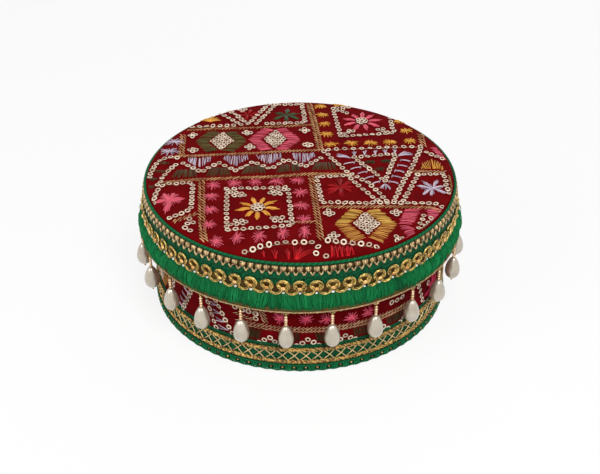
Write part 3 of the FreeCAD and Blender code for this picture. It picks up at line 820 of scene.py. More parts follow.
def lidClothPiece():
    # outline of the top, its turned edge and the rim, and back along the inside
    thick = clothTop - padTop
    flatR = np.linspace(0, shoulderRadius, 74)
    turn = np.linspace(0, tau / 4, 9)[1:]
    edge = lidForm["edgeRound"]
    topLevel = clothTop - lidForm["crown"] * (flatR / shoulderRadius) ** 2
    shoulder = clothTop - lidForm["crown"]
    outer = np.concatenate([
        np.stack([flatR, topLevel], 1),
        np.stack([shoulderRadius + edge * np.sin(turn), shoulder - edge + edge * np.cos(turn)], 1),
        upright(skirtRadius, padLow, skirtLow + 0.3, 8),
        [(skirtRadius - 0.3, skirtLow), (skirtRadius - 2 * thick, skirtLow)],
    ])
    inner = [(skirtRadius - 2 * thick, skirtLow + thick), (skirtRadius - thick, skirtLow + thick)]
    inner += [(padRadius, padLow), (padRadius, padTop - 2.4), (padRadius - 2, padTop - 0.9)]
    inner += [(padRadius / 2, padTop - 0.3), (0, padTop)]

    def lift(points):
        onTop = points[:, 2] > shoulder - edge
        return np.where(onTop, lidRelief(points[:, 0], points[:, 1]), 0)

    piece = discPiece("lidCloth", np.concatenate([outer, inner]), 288, "maroon", ["lid_top_cloth"], lift)


lidClothPiece()
print("lid cloth done")


# lid trims

def ringLine(radius):
    return [(0, 0), (tau * radius, 0)]


def ringGround(radius, level):
    # v is outwards from a level ring and h upwards
    def ground(u, v, h):
        angle = u / radius
        out = radius + v
        return np.stack(np.broadcast_arrays(out * np.sin(angle), -out * np.cos(angle), level + h), -1)
    return ground


def spaced(radius, count):
    # places of count repeats round a ring, one to a row, and the pitch between them
    pitch = tau * radius / count
    return (np.arange(count) * pitch)[:, None], pitch


def beads(name, ground, rows, lift, finish, nodes=()):
    # flattened balls: rings of a sphere squeezed towards the ground; rows of places, level, radius, height
    rings, sides = 5, 8
    total = rings * sides
    polar = (np.pi * (np.arange(rings) + 0.5) / rings)[:, None]
    around = circle(sides)
    ends = np.stack([np.arange(sides), np.arange(total - 1, total - sides - 1, -1)])
    strands = []
    for places, level, radius, flat in rows:
        count = len(places)
        size = radius * dice.uniform(0.88, 1.1, count)[:, None, None]
        u = places[:, :, None] + size * np.sin(polar) * np.cos(around)
        v = level + size * 0.85 * np.sin(polar) * np.sin(around)
        points = ground(u, v, lift + size * flat * np.cos(polar) + 0 * u).reshape(-1, 3)
        balls = manyOf(gridFaces(rings, sides, False, True)[:, ::-1], count, total)
        tone = np.repeat(dice.uniform(0, 1, count), total)
        strands.append((points, [balls, manyOf(ends, count, total)], points[:, :2], tone))
    joinStrands(name, strands, finish, nodes)


pipingForm = {"plies": 3, "yarn": 0.44, "pitch": 3.0, "inset": 0.65, "rise": 0.1}


def pipingPiece():
    # three plies of green yarn wound into a cord that lies against the padded edge
    outer, low, high = ringOf("lid_edge_piping")
    middle = outer - pipingForm["inset"]
    ground = ringGround(middle, (low + high) / 2 + pipingForm["rise"])
    strand = twistedRing(ground, ringLine(middle), pipingForm["yarn"], pipingForm["pitch"], 0.0,
                         pipingForm["plies"], 1.0, sides=6)
    joinStrands("lidPiping", [strand], "greenCord", ["lid_edge_piping"])


ribbonForm = {"slope": 5.4, "lean": 1.95, "thick": 0.4}
ribbonOuter, ribbonLow, ribbonTop = ringOf("lid_rim_ribbon")
ribbonEdge = ribbonOuter - ribbonForm["lean"]
ribbonLean = ribbonForm["lean"] / ribbonForm["slope"]
onSlope = roundGround(ribbonEdge, ribbonLean, ribbonTop)
onRibbon = roundGround(ribbonOuter)


def ribbonPiece():
    # leaning upper part, upright lower part, with a folded edge below
    thick = ribbonForm["thick"]
    knee = ribbonTop - ribbonForm["slope"]
    outside = [(ribbonOuter - thick, ribbonLow), (ribbonOuter, ribbonLow + 0.2)]
    outside += upright(ribbonOuter, ribbonLow + 1, knee, 9) + [(ribbonEdge, ribbonTop)]
    inside = [(ribbonEdge - thick, ribbonTop), (ribbonOuter - thick, knee)]
    turnedPiece("lidRibbon", outside + inside, 288, "greenTape", ["lid_rim_ribbon"])


# levels are below the ribbon's top edge
chainForm = {"count": 132, "ridges": (-1.15, 0.0, 1.15), "start": 0.5, "knee": 3.3, "sole": 5.0, "back": 0.25,
             "taper": 0.4, "ridgeYarn": 0.46, "footYarn": 0.42, "footStart": 0.75}


def chainPiece():
    # upright ridges of rose-gold yarn in blocks that narrow downwards; slanting feet meet under each gap
    count, inset = chainForm["count"], chainForm["footStart"]
    start, pitch = spaced(ribbonEdge, count)
    top, knee, sole = [ribbonTop - chainForm[key] for key in ("start", "knee", "sole")]
    share = np.linspace(0, 1, 5)
    hump = np.sin(np.pi * (0.12 + 0.76 * share))
    tone = dice.uniform(0.55, 1, (count, 1))
    # painted light along each ridge: lit at the top, shaded to nothing at its foot
    paintedLight = np.array([0.6, 1.3, 1.2, 0.5, 0.0])
    strands = []
    for shift in chainForm["ridges"]:
        u = start + shift * (1 - chainForm["taper"] * share)
        v = top + (knee - top) * share + 0 * u
        # dim lifts the middle ridge highest and paints shade into the side ridges
        dim = 1 - 0.4 * abs(shift)
        speck = dice.uniform(0.45, 1.3, (count, 5))
        yarn = chainForm["ridgeYarn"] + 0.1 * hump
        lift = 0.2 + 0.35 * hump + 0.3 * dim
        strands.append(tubes(onSlope, u, v, lift, yarn, 6, tone=tone * paintedLight * dim * speck))
    for way in (-1, 1):
        u = start + way * (inset + (pitch / 2 - inset) * share)
        v = knee + 0.3 + (sole - knee - 0.3) * share + 0 * u
        # painted shade where each foot starts under its block, lighter towards the sole
        shade = tone * np.linspace(0.25, 1.1, 5)
        strands.append(tubes(onSlope, u, v, 0.25 + 0.3 * hump, chainForm["footYarn"], tone=shade))
    joinStrands("lidChain", strands, "roseGold", ["lid_gold_chain"])
    # a dark sheet behind the chain: painted shadow for the gaps between its blocks
    outline = [(ribbonEdge + (ribbonTop - z) * ribbonLean, z) for z in (top - 0.2, knee - 0.1)]
    outline += [(r + chainForm["back"], z) for r, z in outline[::-1]]
    turnedPiece("lidChainGapShadow", outline, 288, "darkWeave")


# cords: radius of the loop and of its yarn, upper loops then lower ones; ends: how far past a half circle
braidForm = {"count": 67, "drop": 11.3, "step": 2.5, "ends": 0.72, "wide": 1.06, "climb": 0.85,
             "cords": ([(3.2, 0.32), (2.45, 0.29), (1.75, 0.24)], [(3.3, 0.33), (2.5, 0.28)]),
             "backs": (3.1, 3.0), "plate": (1.5, 1.4), "bead": (4.75, 0.82)}


def braidPiece():
    # gold cords in upper and lower loops half a pitch apart, each loop over the next and under the last
    start, pitch = spaced(ribbonOuter, braidForm["count"])
    share = np.linspace(0, 1, 15)
    level = ribbonTop - braidForm["drop"]
    lower = level - braidForm["step"]
    sweep = np.pi * (1 + braidForm["ends"])
    rows = ((start, level, 0.0, share), (start + pitch / 2, lower, np.pi, share[::-1]))
    strands = []
    for (middle, high, turn, climb), cords in zip(rows, braidForm["cords"]):
        angle = turn + np.pi * (1 + braidForm["ends"] / 2) - share * sweep
        for k, (radius, yarn) in enumerate(cords):
            u = middle + braidForm["wide"] * radius * np.cos(angle)
            v = high + radius * np.sin(angle) + 0 * u
            lift = 0.45 + braidForm["climb"] * climb - 0.12 * k
            tone = dice.uniform(0.1, 1.35, u.shape) * (1.0 - 0.1 * k)
            strands.append(tubes(onRibbon, u, v, lift, yarn, tone=tone))
    joinStrands("lidBraid", strands, "gold", ["lid_scallop_braid"])
    upperBack, lowerBack = braidForm["backs"]
    backs = [(start, level, upperBack, 0.06), (start + pitch / 2, lower, lowerBack, 0.06)]
    beads("lidBraidBack", onRibbon, backs, 0.2, "bronze")
    below, radius = braidForm["plate"]
    beads("lidBraidPlates", onRibbon, [(start, level - below, radius, 0.4)], 1.75, "goldPlate")
    below, radius = braidForm["bead"]
    row = [(start, level - below, radius, 0.62)]
    beads("lidBraidBeads", onRibbon, row, 0.75, "whiteBead", ["lid_braid_beads"])


fringeForm = {"strands": 5200, "clumps": 190, "ragged": 0.34, "yarn": 0.3, "strays": 0.06, "core": 0.9,
              "headHidden": 0.9, "gather": 0.2, "sway": 1.7}


def fringeCore(outer, low):
    # a soft ring under the yarns, gently waved round the drum
    core = outer - fringeForm["core"]
    profile = [(core - 2.6, low + 0.7), (core - 0.5, low + 0.5), (core, low + 2), (core - 0.2, low + 5)]
    profile += [(ribbonOuter + 0.6, ribbonLow - 0.6), (ribbonOuter - 0.5, ribbonLow + 0.4)]
    profile += [(ribbonOuter - 1.6, ribbonLow)]

    def ripple(angle, level):
        wave = 0.12 * np.sin(61 * angle + 2 * np.sin(5 * angle)) + 0.08 * np.sin(137 * angle)
        return wave * np.clip((ribbonLow - level) / 4, 0, 1), 0 * wave

    turnedPiece("lidFringeCore", profile, 576, "greenYarn", ["lid_fringe"], ripple)


def fringePieces():
    # a soft core and thousands of yarns over it, gathered in clumps that swell out and hang to an uneven edge
    outer, low = ringOf("lid_fringe")[:2]
    fringeCore(outer, low)
    top = ribbonLow + fringeForm["headHidden"]
    count, clumps = fringeForm["strands"], fringeForm["clumps"]
    girth = tau * ribbonOuter
    place = np.sort(dice.uniform(0, girth, count))
    group = np.floor(place / girth * clumps).astype(int)
    clump = (group + 0.5) * girth / clumps
    share = np.linspace(0, 1, 7)
    lean = dice.normal(0, 0.45, clumps)[group] + dice.normal(0, 0.5, count)
    lean = lean + fringeForm["sway"] * np.sin(0.23 * place + 2.4 * np.sin(0.047 * place))
    swell = dice.normal(0, 0.15, clumps)[group]
    depth = dice.uniform(-0.7, 0.35, count)
    stray = dice.random(count) < fringeForm["strays"]
    lean = lean + stray * dice.normal(0, 2, count)
    end = low + dice.normal(0.1, fringeForm["ragged"], count) - 0.25 * depth - 0.5 * stray
    gather = fringeForm["gather"] * (clump - place)
    u = place[:, None] + (gather + lean)[:, None] * share ** 2 + 0.25 * np.sin(5 * share + place[:, None] * 7)
    v = top + (end - top)[:, None] * share
    belly = np.interp(share, [0, 0.2, 0.45, 0.7, 1], [0.1, 1.15, 2.75, 3.3, 3.0])
    h = belly + (depth * 0.8 + swell + 0.8 * stray)[:, None] * np.clip(share * 2.2, 0, 1)
    thin = fringeForm["yarn"] * np.interp(share, [0, 0.5, 1], [0.8, 1, 0.45])
    # painted shade and light: yarns lying deeper are darker, those of clumps that swell out lighter, with a
    # random part; along each yarn painted shade near the top and painted light towards the end
    shade = np.clip(0.52 + 0.25 * depth + dice.normal(0, 0.16, count) + 0.5 * swell, 0, 1)
    shade = shade[:, None] * np.interp(share, [0, 0.3, 0.7, 1], [0.4, 0.85, 1.15, 1.25])
    joinStrands("lidFringe", [tubes(onRibbon, u, v, h, thin, 3, tone=shade)], "greenYarn")


tapeForm = {"drop": 7.7, "thick": 0.7, "reach": 4.9, "cordYarn": 0.24, "cordPitch": 1.9, "cordRise": 0.3,
            "picots": 192, "picotDrop": 0.75, "picotYarn": 0.14}


def tapePieces():
    # a narrow tape that flares under the fringe, edged with a thin twisted cord and loops between the drops
    outer, low, high = ringOf("lid_pearl_tape")
    inner = outer - tapeForm["reach"]
    back = inner - tapeForm["thick"]
    bend = low + tapeForm["drop"]
    profile = [(outer - tapeForm["thick"], low), (outer, low), (inner, bend), (inner, high)]
    profile += [(back, high), (back, bend)]
    turnedPiece("lidPearlTape", profile, 288, "tape", ["lid_pearl_tape"])
    onEdge = roundGround(outer)
    cord = np.array(ringLine(outer)) + (0, low + tapeForm["cordRise"])
    cords = [twistedRing(onEdge, cord, tapeForm["cordYarn"], tapeForm["cordPitch"], 0.05, mottle=0.5)]
    # picots: small arcs that hang from the cord
    start, pitch = spaced(outer, tapeForm["picots"])
    angle = np.linspace(-np.pi, 0, 7)
    u = start + 0.45 * pitch * np.cos(angle)
    v = low + 0.2 + tapeForm["picotDrop"] * np.sin(angle) + 0 * u
    cords.append(tubes(onEdge, u, v, -0.3, tapeForm["picotYarn"], 4))
    joinStrands("lidPearlEdge", cords, "edge")


# radius and height of the beads, the pearl and the pin's head; eye: radius of the ring and of its wire
dropForm = {"count": 24, "phase": -4.5, "seedStart": 1.3, "seeds": 4, "seed": (0.98, 1.65),
            "pearl": (4.4, 14.0), "end": (0.85, 1.5), "head": (0.55, 0.4), "eye": (0.63, 0.2), "shank": 0.3,
            "loopReach": 1.25, "loopDrop": 1.2, "loopYarn": 0.33}
eyeLevel = 1000 * next(j for j in frame["joints"] if j["name"] == "pearl_swing_01")["pos_m"][2]
# shares of the pearl's radius and height, from the neck to the foot
pearlOutline = np.array([(0.17, 1.0), (0.32, 0.975), (0.44, 0.93), (0.56, 0.87), (0.67, 0.8), (0.79, 0.71),
                         (0.89, 0.61), (0.965, 0.5), (1.0, 0.385), (0.985, 0.29), (0.92, 0.2), (0.8, 0.12),
                         (0.62, 0.055), (0.4, 0.015), (0.2, 0.0)])


def spun(profile, sides, wobble=0.0, phase=0.0):
    # an outline of (radius, level) from top to foot turned about the drop's own axis, with flat ends
    profile = np.asarray(profile, float)
    around = circle(sides)
    radius = profile[:, :1] * (1 + wobble * np.cos(2 * around + phase))
    points = np.stack([radius * np.cos(around), radius * np.sin(around), profile[:, 1:] + 0 * radius], -1)
    total = points.shape[0] * sides
    ends = np.stack([np.arange(sides), np.arange(total - 1, total - sides - 1, -1)])
    return points.reshape(-1, 3), [gridFaces(len(profile), sides, False, True)[:, ::-1], ends]


def bead(radius, tall, level):
    # a barrel: its radius follows a sine from top to foot
    share = np.linspace(0, 1, 7)
    return spun(np.stack([radius * np.sin(np.pi * (0.1 + 0.8 * share)), level - tall * share], 1), 12)


def dropParts():
    # seed beads, pearl, end bead, pin head, wire eye and shank, each with the number of its finish
    parts = []
    level = eyeLevel - dropForm["seedStart"]
    radius, tall = dropForm["seed"]
    for k in range(dropForm["seeds"]):
        parts.append((bead(radius * dice.uniform(0.92, 1.05), tall, level), 1))
        level -= tall
    radius, tall = dropForm["pearl"]
    outline = pearlOutline * (radius * dice.uniform(0.97, 1.02), tall) + (0, level - tall)
    parts.append((spun(outline, 28, dice.uniform(0, 0.02), dice.uniform(0, tau)), 0))
    level -= tall
    radius, tall = dropForm["end"]
    parts.append((bead(radius, tall, level), 1))
    level -= tall
    radius, tall = dropForm["head"]
    head = [(radius * 0.8, level), (radius, level - tall / 2), (radius * 0.7, level - tall)]
    parts.append((spun(head, 10), 2))
    # the eye is a ring about the loop's bar
    radius, wire = dropForm["eye"]
    a, b = np.meshgrid(circle(16), circle(6), indexing="ij")
    out = radius + wire * np.cos(b)
    eye = np.stack([wire * np.sin(b), out * np.cos(a), eyeLevel + out * np.sin(a)], -1).reshape(-1, 3)
    parts.append(((eye, [gridFaces(16, 6, True, True)]), 2))
    thin = dropForm["shank"]
    shank = [(thin, eyeLevel - 0.55), (thin, eyeLevel - dropForm["seedStart"] - 0.2)]
    parts.append((spun(shank, 8), 2))
    return parts


def dropPieces():
    # each drop hangs on its own thread loop under the tape's edge
    hang = 1000 * np.hypot(*np.mean(np.array(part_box("pearl_drop_01")), 0)[:2])
    turns = np.radians(dropForm["phase"]) + circle(dropForm["count"])
    for number, turn in enumerate(turns, 1):
        parts = dropParts()
        sizes = [len(points) for (points, groups), kind in parts]
        x, y, z = np.concatenate([points for (points, groups), kind in parts]).T
        faces, kinds = [], []
        for ((own, groups), kind), first in zip(parts, np.cumsum([0] + sizes)):
            faces += [group + first for group in groups]
            kinds += [np.full(len(group), kind) for group in groups]
        out = hang - y
        across = x * np.cos(turn) + out * np.sin(turn)
        points = np.stack([across, x * np.sin(turn) - out * np.cos(turn), z], 1)
        tone = np.repeat([dice.uniform(0.3, 1) for part in parts], sizes)
        addPiece("pearlDrop%02d" % number, points, faces, points[:, :2], tone, ["pearl", "seedBead", "gold"],
                 ["pearl_drop_%02d" % number], np.concatenate(kinds))
    reach, drop = dropForm["loopReach"], dropForm["loopDrop"]
    u = (hang * turns)[:, None] + reach * np.array([-1, -1, -1, -0.8, 0, 0.8, 1, 1, 1])
    v = eyeLevel + np.array([drop, drop / 2, 0.35, 0, 0, 0, 0.35, drop / 2, drop]) + 0 * u
    strand = tubes(roundGround(hang), u, v, 0.0, dropForm["loopYarn"], 6)
    joinStrands("lidPearlLoops", [strand], "roseGold", ["lid_pearl_loops"])


pipingPiece()
ribbonPiece()
chainPiece()
braidPiece()
fringePieces()
tapePieces()
dropPieces()
print("lid trims done")


# base: cloth, embroidery and foot trims

clothForm = {"thick": 0.75, "hem": 9.0, "flap": 11.8, "rimWidth": 4.0}


def baseClothPiece():
    # one strip of cloth up the wall, over the rim into a flap inside, and under the floor into a hem
    thick, hem = clothForm["thick"], clothForm["hem"]
    flap = wallTop - clothForm["flap"]
    inner = wallRadius - clothForm["rimWidth"]
    outside = [(wallRadius - hem, wallLow), (wallRadius - 0.4, wallLow), (wallRadius, wallLow + 0.4)]
    outside += upright(wallRadius, wallLow + 2, wallTop - 0.9, 24)
    outside += [(wallRadius - 0.25, wallTop - 0.25), (wallRadius - 0.8, wallTop)]
    over = [(inner + 0.7, wallTop), (inner + 0.2, wallTop - 0.2), (inner, wallTop - 0.7), (inner, flap)]
    back = [(inner + thick, flap), (inner + thick, wallTop - thick), (wallRadius - thick, wallTop - thick)]
    back += [(wallRadius - thick, wallLow + thick), (wallRadius - hem, wallLow + thick)]
    # the wall's cloth is a darker copy of the lid's: painted shade under the lid's overhang
    piece = turnedPiece("baseCloth", outside + over + back, 288, "maroonWall", ["base_wall_cloth"])
    long = hem + (wallTop - wallLow) + clothForm["rimWidth"] + clothForm["flap"]
    long / 1000


# patches of the wall: s runs round it from the front, z is the level
wallGirth = tau * wallRadius
wallForm = {"lineLevel": 28.6, "lineSway": 1.0, "blocks": 26, "runs": [(-36, 68), (112, wallGirth - 121)],
            "blockLow": 19.6, "peaksLow": 17.4, "peaksHigh": 21.8, "upperPatches": 9, "upperMiddle": 55.6}


def wallLine(s):
    return wallForm["lineLevel"] - wallForm["lineSway"] * np.sin(s / 45)


def wallStrip(work):
    # pink stars over a couched line, dark blocks and peaks of sequins, all round but for the larger patches
    period = wallGirth / wallForm["blocks"]
    low, high, foot = wallForm["peaksLow"], wallForm["peaksHigh"], wallForm["blockLow"]
    for first, last in wallForm["runs"]:
        strip = np.linspace(first, last, 40)
        # the pale couching is partly painted light, against the shade under the lid
        work.couch(4.0, 2, np.stack([strip, wallLine(strip)], 1), 2.2, 0.4, "pale")
        for s in np.arange(np.ceil((first + 6) / period) * period - 6.2, last - 4, period):
            top = wallLine(s) - 2.4
            upper = [(s - 6.4, top), (s + 6.4, top)]
            work.satin("bark", upper, [(s - 4.8, foot), (s + 4.8, foot)], 19, 0.6, 0.5)
            peak = s + period / 2
            work.sequinLine([(peak - 6, low), (peak, high), (peak + 6, low)], tack=False)
    stars = [(-10.8, 36), (3.4, 36), (14.6, 35.2), (28.3, 33.6), (38.5, 34.4)]
    stars += [(s, 35.4) for s in np.arange(114, wallGirth - 124, 12.4)]
    for s, z in stars:
        # hot pink: partly the yarn's own colour, partly painted light against the lid's shade
        work.star("hotPink", s, z, 4.6, 15, width=0.48)


def ladderPatch(work):
    # sequin lines with lavender rungs at the front left, and an amber hexagon beyond them
    outer = np.array([(-50.6, 42.8), (-38.5, 19.4)])
    inner = np.array([(-56.3, 42.8), (-49.3, 19.4)])
    work.sequinLines(4.2, outer, inner)
    for t in np.linspace(0.12, 0.95, 5):
        a = outer[0] + t * (outer[1] - outer[0]) - (1.4, 0)
        b = inner[0] + t * (inner[1] - inner[0]) + (1.6, 0)
        work.stitch("lavender", [a, a], [b + (0, 1.3), b - (0, 1.1)], 0.56)
    left = [(-64, 41.6), (-76, 18.6)]
    work.sequinLine(left, 3.5)
    for s, z in onRail(left, np.linspace(0.15, 0.95, 5)):
        work.stitch("lavender", [(s - 5.4, z + 2.4)], [(s - 0.8, z - 0.4)], 0.8)
    work.sequinLine([(-82.6, 41), (-88, 19)], 4.1)
    hexagonPatch(work, "amber", -105, wallForm["lineLevel"], 8.6)
    work.sequinLine([(-36, 38.4), (-24, 37.4)])
    # pale couching, partly painted light as on the strip
    work.couch(3.4, 2, [(-21, 41.2), (-18.8, 32.2)], 1.9, 0.46, "pale")
    work.couch(2.6, 1, [(-37, 35), (-25.4, 32.4)], 1.9, 0.46, "pale")
    work.sequin([(-24.4, 37.2), (-24.2, 33.8)])
    work.sequinLine([(53.6, 34.6), (61.4, 35)])


def hexagonPatch(work, colour, s, z, tall):
    work.hexagon((colour, colour), s, z, 13, (tall, tall), 6.4, (6, 7.4), 16)
    work.sequinDiamond(s, z, 4.4, 6.2, 4)


def wallFlower(work):
    # a cerise flower between sequin lines at the right
    work.petals("cerise", 91.8, 25, 0.5, 9, 6, 0.3, 0.32, 8, 0.5, blunt=0.7)
    work.sequinLine([(74.6, 38), (77.1, 32.2), (80, 25), (83.7, 17.9)], 4.1)
    work.sequin([(86.9, 30.4), (88.4, 16.6), (97, 31.6), (99, 18)])
    work.sequinLine([(105, 38), (106, 20)], 4.1)


def upperPatches(work):
    # a row of framed patches of three kinds, hidden until the lid is lifted
    wide = wallGirth / wallForm["upperPatches"]
    z = wallForm["upperMiddle"]
    for k in range(wallForm["upperPatches"]):
        s = k * wide
        work.couch(4.0, 2, [(s - wide / 2, 41.4), (s - wide / 2 + 0.4, 69.4)])
        work.sequinLine([(s - 24, 66), (s + 24, 66), (s + 24, 44.8), (s - 24, 44.8), (s - 24, 66)], 4.1)
        kind = k % 3
        if kind == 0:
            hexagonPatch(work, "pink", s, z, 8.4)
        elif kind == 1:
            work.petals("yellow", s, z, 2.8, 8.6, 9, 0.2)
            work.cluster(s, z, 1.8, 5)
        else:
            work.petals("red", s, z, 0.5, 8.4, 6, 0.1, 0.36, 9, blunt=0.5)
        for way in (-1, 1):
            if kind == 2:
                low = [(s + way * 14, z - 5.2), (s + way * 18, z - 5.2)]
                work.satin("lavender", [(s + way * 12, z + 5), (s + way * 20, z + 5)], low, 11, 0.5)
            else:
                work.star("pink" if kind else "lavender", s + way * 17, z, 4.6)
                work.cluster(s + way * 19.5, 62, 1.8, 3)
    work.couch(2.2, 1, [(0, 41), (wallGirth, 41)])


def wallPatchwork():
    work = Needlework(roundGround(wallRadius), 0.5)    # low enough for the pearls to swing past
    for patch in (wallStrip, ladderPatch, wallFlower, upperPatches):
        patch(work)
    work.sew("base")


footOuter, footLow, footTop = ringOf("base_foot_ribbon")
gimpOuter, gimpLow, gimpTop = ringOf("base_foot_gimp")
onFoot = roundGround(footOuter)
footForm = {"thick": 0.4}
# cords: lower edge and height; plies: place across the cord, yarn, pitch and number of plies
laceForm = {"cords": ((5.2, 2.6), (13.5, 2.9)), "diamonds": 84, "yarn": 0.3, "overlap": 0.5,
            "plies": ((0.25, 0.36, 3.1, 2), (0.75, 0.36, 2.6, 2), (0.5, 0.44, 4.3, 3)),
            "strays": 260, "strayLong": 2.4, "strayYarn": 0.26}
gimpForm = {"dots": 86, "dotLevel": 3.3, "dot": 0.72, "skin": 0.4, "bar": 0.56, "edgeYarn": 0.3,
            "edgePitch": 2.6}


def footRibbonPiece():
    # woven ribbon round the foot, under the lace
    inner = footOuter - footForm["thick"]
    band = [(inner, footLow), (footOuter, footLow + 0.1)]
    band += upright(footOuter, footLow + 1, footTop - 0.2, 9) + [(inner, footTop)]
    turnedPiece("baseFootRibbon", band, 288, "greenTape", ["base_foot_ribbon"])


def lacePieces():
    # metal lace: two ragged cords of several twisted plies, and a crossed lattice between them
    strands = []
    for low, tall in laceForm["cords"]:
        for share, yarn, pitch, plies in laceForm["plies"]:
            line = np.array(ringLine(footOuter)) + (0, low + tall * share)
            strands.append(twistedRing(onFoot, line, yarn, pitch, 0.5, plies, 1.1, 0.5))
        # short stray ends give the cords their ragged look
        count = laceForm["strays"]
        s = dice.uniform(0, tau * footOuter, count)[:, None]
        share = np.linspace(-0.5, 0.5, 4)
        level = low + tall * dice.uniform(0.2, 0.8, count)[:, None]
        turn = dice.normal(0, 0.5, count)[:, None]
        u = s + laceForm["strayLong"] * share * np.cos(turn)
        v = level + 2.2 * share * np.sin(turn)
        strands.append(tubes(onFoot, u, v, 1.05 - 1.6 * share ** 2, laceForm["strayYarn"], 4))
    joinStrands("baseGoldLace", strands, "lace", ["base_gold_lace"])
    lowCord, highCord = laceForm["cords"]
    low = sum(lowCord) - laceForm["overlap"]
    high = highCord[0] + laceForm["overlap"]
    start, pitch = spaced(footOuter, laceForm["diamonds"])
    share = np.linspace(0, 1, 7)
    lattice = []
    for way in (0, 1):
        u = start + pitch * (share if way else 1 - share)
        v = low + (high - low) * share + 0 * u
        lift = 0.3 + 0.22 * np.cos(tau * share + np.pi * way)
        lattice.append(tubes(onFoot, u, v, lift, laceForm["yarn"], tone=dice.uniform(0.7, 1.3, u.shape)))
    joinStrands("baseLattice", lattice, "roseGold")


def gimpPieces():
    # green gimp along the lower edge: upright bars over a scalloped core, twisted edges and gold dots
    skin = gimpOuter - gimpForm["skin"]

    def ripple(angle, level):
        wave = np.sin(gimpForm["dots"] * angle)
        near = np.clip((gimpLow + 2 - level) / 2, 0, 1)
        return 0.1 * wave, 0.25 * near * (1 + wave)

    core = [(gimpOuter - 1.1, gimpLow + 0.3), (gimpOuter - 0.6, gimpLow + 0.5), (skin, gimpLow + 1.1)]
    core += [(skin, gimpTop - 0.8), (gimpOuter - 0.7, gimpTop - 0.2), (gimpOuter - 1.1, gimpTop)]
    turnedPiece("baseGimpCore", core, 576, "greenShade", ["base_foot_gimp"], ripple)
    onGimp = roundGround(skin)
    start, pitch = spaced(skin, gimpForm["dots"])
    share = np.linspace(0, 1, 7)
    hump = np.sin(np.pi * share)
    strands = []
    for k in (-1, 0, 1):
        # bars between the dots, the outer two bowed round them
        u = start + k * pitch * (0.34 - 0.17 * hump)
        low = 0.25 * abs(k)
        v = gimpLow + 0.05 + low + (gimpTop - gimpLow - 0.3 - low) * share + 0 * u
        # painted light where each bar bulges out in the middle and painted shade at its ends, times a random
        # tone
        tone = dice.uniform(0.5, 1.1, (len(start), 1)) * np.interp(share, [0, 0.5, 1], [0.6, 1.1, 0.6])
        yarn = gimpForm["bar"] - 0.1 * abs(k)
        strands.append(tubes(onGimp, u, v, 0.1 + 0.35 * hump, yarn, flat=0.8, tone=tone))
    s = np.linspace(0, tau * skin, 8 * gimpForm["dots"] + 1)
    for level, wave in ((gimpTop - 0.4, 0.1), (gimpLow + 0.6, -0.24)):
        edge = np.stack([s, level + wave * np.cos(tau * s / pitch)], 1)
        strands.append(twistedRing(onGimp, edge, gimpForm["edgeYarn"], gimpForm["edgePitch"], 0.2))
    joinStrands("baseGimp", strands, "greenCord")
    dots = [(start + pitch / 2, gimpForm["dotLevel"], gimpForm["dot"], 0.7)]
    beads("baseGimpDots", onGimp, dots, 0.45, "lace", ["base_gimp_dots"])


liningForm = {"wall": 0.7, "rim": 0.25}


def linings():
    # satin inside the wall and the lid, a thin floor pad and a felt underside
    outer, low, high = ringOf("base_wall_lining")
    inner = outer - liningForm["wall"]
    tube = [(outer, low), (outer, high), (inner + 0.2, high), (inner, high - 0.3)]
    tube += upright(inner, high - 4, low + 1, 12) + [(inner, low)]
    turnedPiece("baseLining", tube, 288, "lining", ["base_wall_lining"])
    outer, low, high = ringOf("base_floor_pad")
    pad = [(0, high), (outer * 0.4, high), (outer * 0.8, high), (outer - 2, high - 0.1)]
    pad += [(outer - 0.5, high - 0.5), (outer, low + 0.5), (outer - 0.3, low), (outer * 0.5, low), (0, low)]
    discPiece("baseFloorPad", pad, 144, "lining", ["base_floor_pad"])
    outer, low, high = ringOf("base_underside_sheet")
    felt = [(0, high), (outer - 0.2, high), (outer, high - 0.2)]
    felt += [(outer, low + 0.2), (outer - 0.2, low), (0, low)]
    discPiece("baseUnderside", felt, 144, "felt", ["base_underside_sheet"])
    outer, low, high = ringOf("lid_top_lining")
    sheet = [(0, high), (outer, high), (outer, low), (0, low)]
    discPiece("lidTopLining", sheet, 144, "lining", ["lid_top_lining"])
    outer, low, high = ringOf("lid_rim_lining")
    inner = outer - liningForm["rim"]
    tube = [(outer, low), (outer, high), (inner, high)]
    tube += upright(inner, high - 3, low + 1, 8) + [(inner, low)]
    turnedPiece("lidRimLining", tube, 288, "lining", ["lid_rim_lining"])


def paintBoards():
    # the boards and the padding are shown as they come
    for node in ("base_wall_board", "base_floor_board", "lid_rim_board", "lid_top_board", "lid_top_padding"):
        mesh = frame["nodes"][node].data
        mesh.materials.clear()
        mesh.materials.append(finishes["wadding" if "padding" in node else "board"])


baseClothPiece()
wallPatchwork()
footRibbonPiece()
lacePieces()
gimpPieces()
linings()
paintBoards()
print("base done")


# camera, light and floor

viewForm = {"rise": 34.3, "distance": 0.617, "aim": 0.0303, "lens": 60.7}


def addCamera():
    # in front and above, looking at a point on the axis
    rise = np.radians(viewForm["rise"])
    away = viewForm["distance"]
    lens = bpy.data.cameras.new("camera")
    lens.lens = viewForm["lens"]
    lens.sensor_width = 36
    camera = bpy.data.objects.new("camera", lens)
    camera.location = (0, -away * np.cos(rise), viewForm["aim"] + away * np.sin(rise))
    camera.rotation_euler = (tau / 4 - rise, 0, 0)
    bpy.context.collection.objects.link(camera)
    bpy.context.scene.camera = camera
    bpy.context.scene.view_settings.view_transform = "Standard"


white = (1, 1, 1, 1)
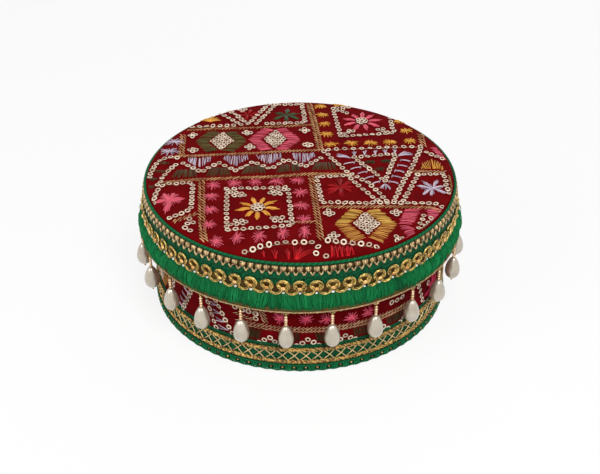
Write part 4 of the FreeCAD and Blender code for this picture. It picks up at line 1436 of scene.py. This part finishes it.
# lamps: place, size and power
studioForm = {"daylight": 0.33, "aim": 0.04,
              "lamps": {"key": ((0.25, -0.75, 1.0), 0.6, 10.8), "fill": ((-0.9, -0.6, 0.7), 0.6, 4.6),
                        "back": ((0.2, 1.1, 0.3), 0.8, 4.0)}}


def studio():
    # soft daylight all round, a broad lamp above the front, a weaker one at the left and one low behind
    world = bpy.data.worlds.new("studio")
    bpy.context.scene.world = world
    world.use_nodes = True
    sky = Nodes(world.node_tree)
    light = sky.node("ShaderNodeBackground", {}, {"Color": white, "Strength": studioForm["daylight"]})
    shown = sky.node("ShaderNodeBackground", {}, {"Color": white, "Strength": 1.0})
    sky.finish("World Output", sky.node("ShaderNodeMixShader", {}, {0: sky.shownRays(), 1: light, 2: shown}))
    for name, (place, size, power) in studioForm["lamps"].items():
        light = bpy.data.lights.new(name, "AREA")
        light.size = size
        light.energy = power
        lamp = bpy.data.objects.new(name, light)
        lamp.location = place
        aim = -np.array(place) + (0, 0, studioForm["aim"])
        lamp.rotation_euler = (np.arctan2(np.hypot(aim[0], aim[1]), -aim[2]), 0, np.arctan2(-aim[0], aim[1]))
        bpy.context.collection.objects.link(lamp)


floorForm = {"size": 6.0, "white": 0.82}


def floorPiece():
    # a wide pale plane; to the camera it is mostly white and keeps a soft shadow
    size = floorForm["size"]
    mesh = bpy.data.meshes.new("floor")
    corners = [(-size, -size, 0), (size, -size, 0), (size, size, 0), (-size, size, 0)]
    mesh.from_pydata(corners, [], [(0, 1, 2, 3)])
    pale = {"Base Color": (0.9, 0.9, 0.9, 1), "Roughness": 0.9, "Specular IOR Level": 0.1}
    paint = Paint("paleFloor", pale)
    glow = paint.node("ShaderNodeEmission", {}, {"Color": white, "Strength": 1.0})
    lit = Sock(paint, paint.shader.outputs[0])
    share = paint.shownRays() * floorForm["white"]
    paint.finish("Material Output", paint.node("ShaderNodeMixShader", {}, {0: share, 1: lit, 2: glow}))
    mesh.materials.append(paint.material)
    floor = bpy.data.objects.new("floor", mesh)
    bpy.context.collection.objects.link(floor)


addCamera()
studio()
floorPiece()
print("camera, light and floor done")
